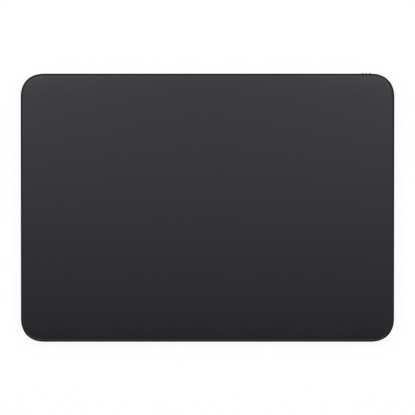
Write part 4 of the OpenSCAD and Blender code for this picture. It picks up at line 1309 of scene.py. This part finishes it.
glass_rings = [
    deck_ring(glass_inset + glass_under_bevel + hold, glass_t),
    deck_ring(glass_inset + glass_under_bevel, glass_t),
    deck_ring(glass_inset, glass_t - glass_under_bevel),
]
glass_rings += [glass_ring(glass_bevel_w * (1 - math.cos(a))) for a in quarter_turn(bevel_steps)]
for near, far, steps in (
    (glass_bevel_w, glass_round_w, round_steps), (glass_round_w, glass_crown_w, crown_steps),
):
    glass_rings += [glass_ring(near + (far - near) * i / steps) for i in range(1, steps + 1)]
glass = piece("touch_plate_glass", loft(glass_rings))
smooth(glass)
etched = grained(
    "frosted_glass", tone(8, 10, 15), tone(11, 13, 19),
    grain=0.05 * MM, rough=(0.33, 0.37), relief=0.0005 * MM, specular_ior_level=0.35,
)
fit(glass, etched, "touch_plate", "frosted_glass", "touch_glass")

diamond = 3.5 * MM


def diamonds(tree):
    """The sensor's diamond-shaped electrodes, under the board's mask."""
    place = add_node(tree, "ShaderNodeTexCoord").outputs["Object"]
    turned = add_node(tree, "ShaderNodeMapping", {"Vector": place, "Rotation": (0, 0, math.pi / 4)})
    checks = add_node(tree, "ShaderNodeTexChecker", {
        "Vector": turned.outputs["Vector"], "Scale": 1 / diamond,
    })
    return checks.outputs["Fac"]


sensor_mask = grained(
    "sensor_mask", tone(26, 66, 46), tone(32, 76, 54),
    grain=0.6 * MM, rough=(0.35, 0.5), relief=0.006 * MM,
)
dress(inlaid(sensor_mask, tone(46, 98, 66), diamonds), "sensor_board")
bar_edge = 0.2 * MM
finished("sensor_chips", chip_resin, "moulded_black", chip_edge, "touch_plate")
soldered("touch_chip_solder", "sensor_chips", "touch_plate", lean, hanging=True)
finished("pull_bar", bright_steel, "bright_steel", bar_edge, "touch_plate")
gel = grained(
    "silicone_gel", tone(192, 195, 198), tone(208, 211, 214),
    grain=0.4 * MM, rough=(0.15, 0.25), relief=0.004 * MM, transmission_weight=0.4,
)
gel_low, gel_high = deck_box("gel_pads")
gel_round = 0.2 * MM
gel_shape = turned_disc(gel_high.x - button_x, gel_high.z - gel_low.z, gel_round, gel_round)
pads = copies(
    "gel_discs", gel_shape, gel, (0, button_mid_y, gel_low.z),
    (2, (2 * button_x, 0, 0)), (2, (0, button_span, 0)),
)
leaned(pads)
smooth(pads)
fit(pads, gel, "touch_plate", "silicone_gel", "gel_pads")

# Stage: a plain pale floor, white to the camera but with a faint shadow, and clear from below. A soft
# even world and soft lamps light the pad. The overhead lamp gives the glass its sheen, paler towards
# the rear, and the fills at the front and the sides light the bevel of the glass.
floor_size = 30.0
floor_drop = 0.02 * MM
# So far to one side that the seam of the floor's two triangles doesn't run under the pad
floor_aside = 4.0
floor_tone = (0.9, 0.9, 0.9, 1.0)
pure_white = (1.0, 1.0, 1.0, 1.0)
white_share = 0.92
skin = bmesh.new()
bmesh.ops.create_grid(skin, x_segments=1, y_segments=1, size=floor_size / 2)
bmesh.ops.translate(skin, vec=(floor_aside, 0, -floor_drop), verts=skin.verts)
floor = piece("floor", skin)
floor_white = bpy.data.materials.new("floor_white")
floor_white.use_nodes = True
tree = floor_white.node_tree
tree.nodes.clear()
seen = add_node(tree, "ShaderNodeLightPath").outputs
straight = reckoned(tree, "MAXIMUM", seen["Is Camera Ray"], seen["Is Glossy Ray"])
either = reckoned(tree, "MAXIMUM", straight, seen["Is Transmission Ray"])
share = reckoned(tree, "MULTIPLY", either, white_share)
lit = add_node(tree, "ShaderNodeBsdfDiffuse", {"Color": floor_tone})
white = add_node(tree, "ShaderNodeEmission", {"Color": pure_white, "Strength": 1.0})
mixed = add_node(tree, "ShaderNodeMixShader", {0: share, 1: lit.outputs[0], 2: white.outputs[0]})
under = add_node(tree, "ShaderNodeNewGeometry").outputs["Backfacing"]
clear = add_node(tree, "ShaderNodeBsdfTransparent")
one_sided = add_node(tree, "ShaderNodeMixShader", {0: under, 1: mixed.outputs[0], 2: clear.outputs[0]})
add_node(tree, "ShaderNodeOutputMaterial", {"Surface": one_sided.outputs[0]})
floor.data.materials.append(floor_white)

scene = bpy.context.scene
room_strength = 0.25
world = bpy.data.worlds.new("soft_room")
world.use_nodes = True
world.node_tree.nodes["Background"].inputs["Color"].default_value = pure_white
world.node_tree.nodes["Background"].inputs["Strength"].default_value = room_strength
scene.world = world

# Places and sizes of the lamps in metres, and their power in watts
overhead_place = (0, 0.314, 0.32)
overhead_size = (0.64, 0.74)
overhead_power = 1.72
rear_lamp_place = (0.132, 0.125, 0.3)
rear_lamp_size = (0.15, 0.15)
rear_lamp_power = 0.15
side_lamp_place = (0.85, 0, 0.74)
side_lamp_size = (1.4, 0.35)
side_lamp_power = 1.7
front_lamp_place = (0, -0.85, 0.74)
front_lamp_size = (2.0, 0.35)
front_lamp_power = 5.3


def softbox(name, place, aim, size, power):
    """A rectangular lamp of a given size that faces a point."""
    lamp = bpy.data.lights.new(name, "AREA")
    lamp.shape = "RECTANGLE"
    lamp.size, lamp.size_y = size
    lamp.energy = power
    made = bpy.data.objects.new(name, lamp)
    made.location = place
    made.rotation_euler = (Vector(aim) - Vector(place)).to_track_quat("-Z", "Y").to_euler()
    scene.collection.objects.link(made)


softbox("overhead", overhead_place, (*overhead_place[:2], 0), overhead_size, overhead_power)
for side in (-1, 1):
    x, y, z = rear_lamp_place
    softbox("rear_corner", (side * x, y, z), (side * x, y, 0), rear_lamp_size, rear_lamp_power)
    x, y, z = side_lamp_place
    softbox("side_fill", (side * x, y, z), (0, 0, 0), side_lamp_size, side_lamp_power)
softbox("front_fill", front_lamp_place, (0, 0, 0), front_lamp_size, front_lamp_power)

# Camera: straight above the pad, from far enough away that its sides stay parallel. The sizes in pixels
# are the picture's width, the pad's width in it, and how far the pad's middle lies below the picture's.
photo_px = 415
pad_px = 373.5
pad_mid_down_px = 0.4
lens = 600.0
sensor = 36.0
px = body_w / pad_px
distance = photo_px * px * lens / sensor
camera_data = bpy.data.cameras.new("camera")
camera_data.lens = lens
camera_data.sensor_width = sensor
camera = bpy.data.objects.new("camera", camera_data)
camera.location = deck_mid + Vector((0, pad_mid_down_px * px, distance))
scene.collection.objects.link(camera)
scene.camera = camera
scene.view_settings.view_transform = "Standard"
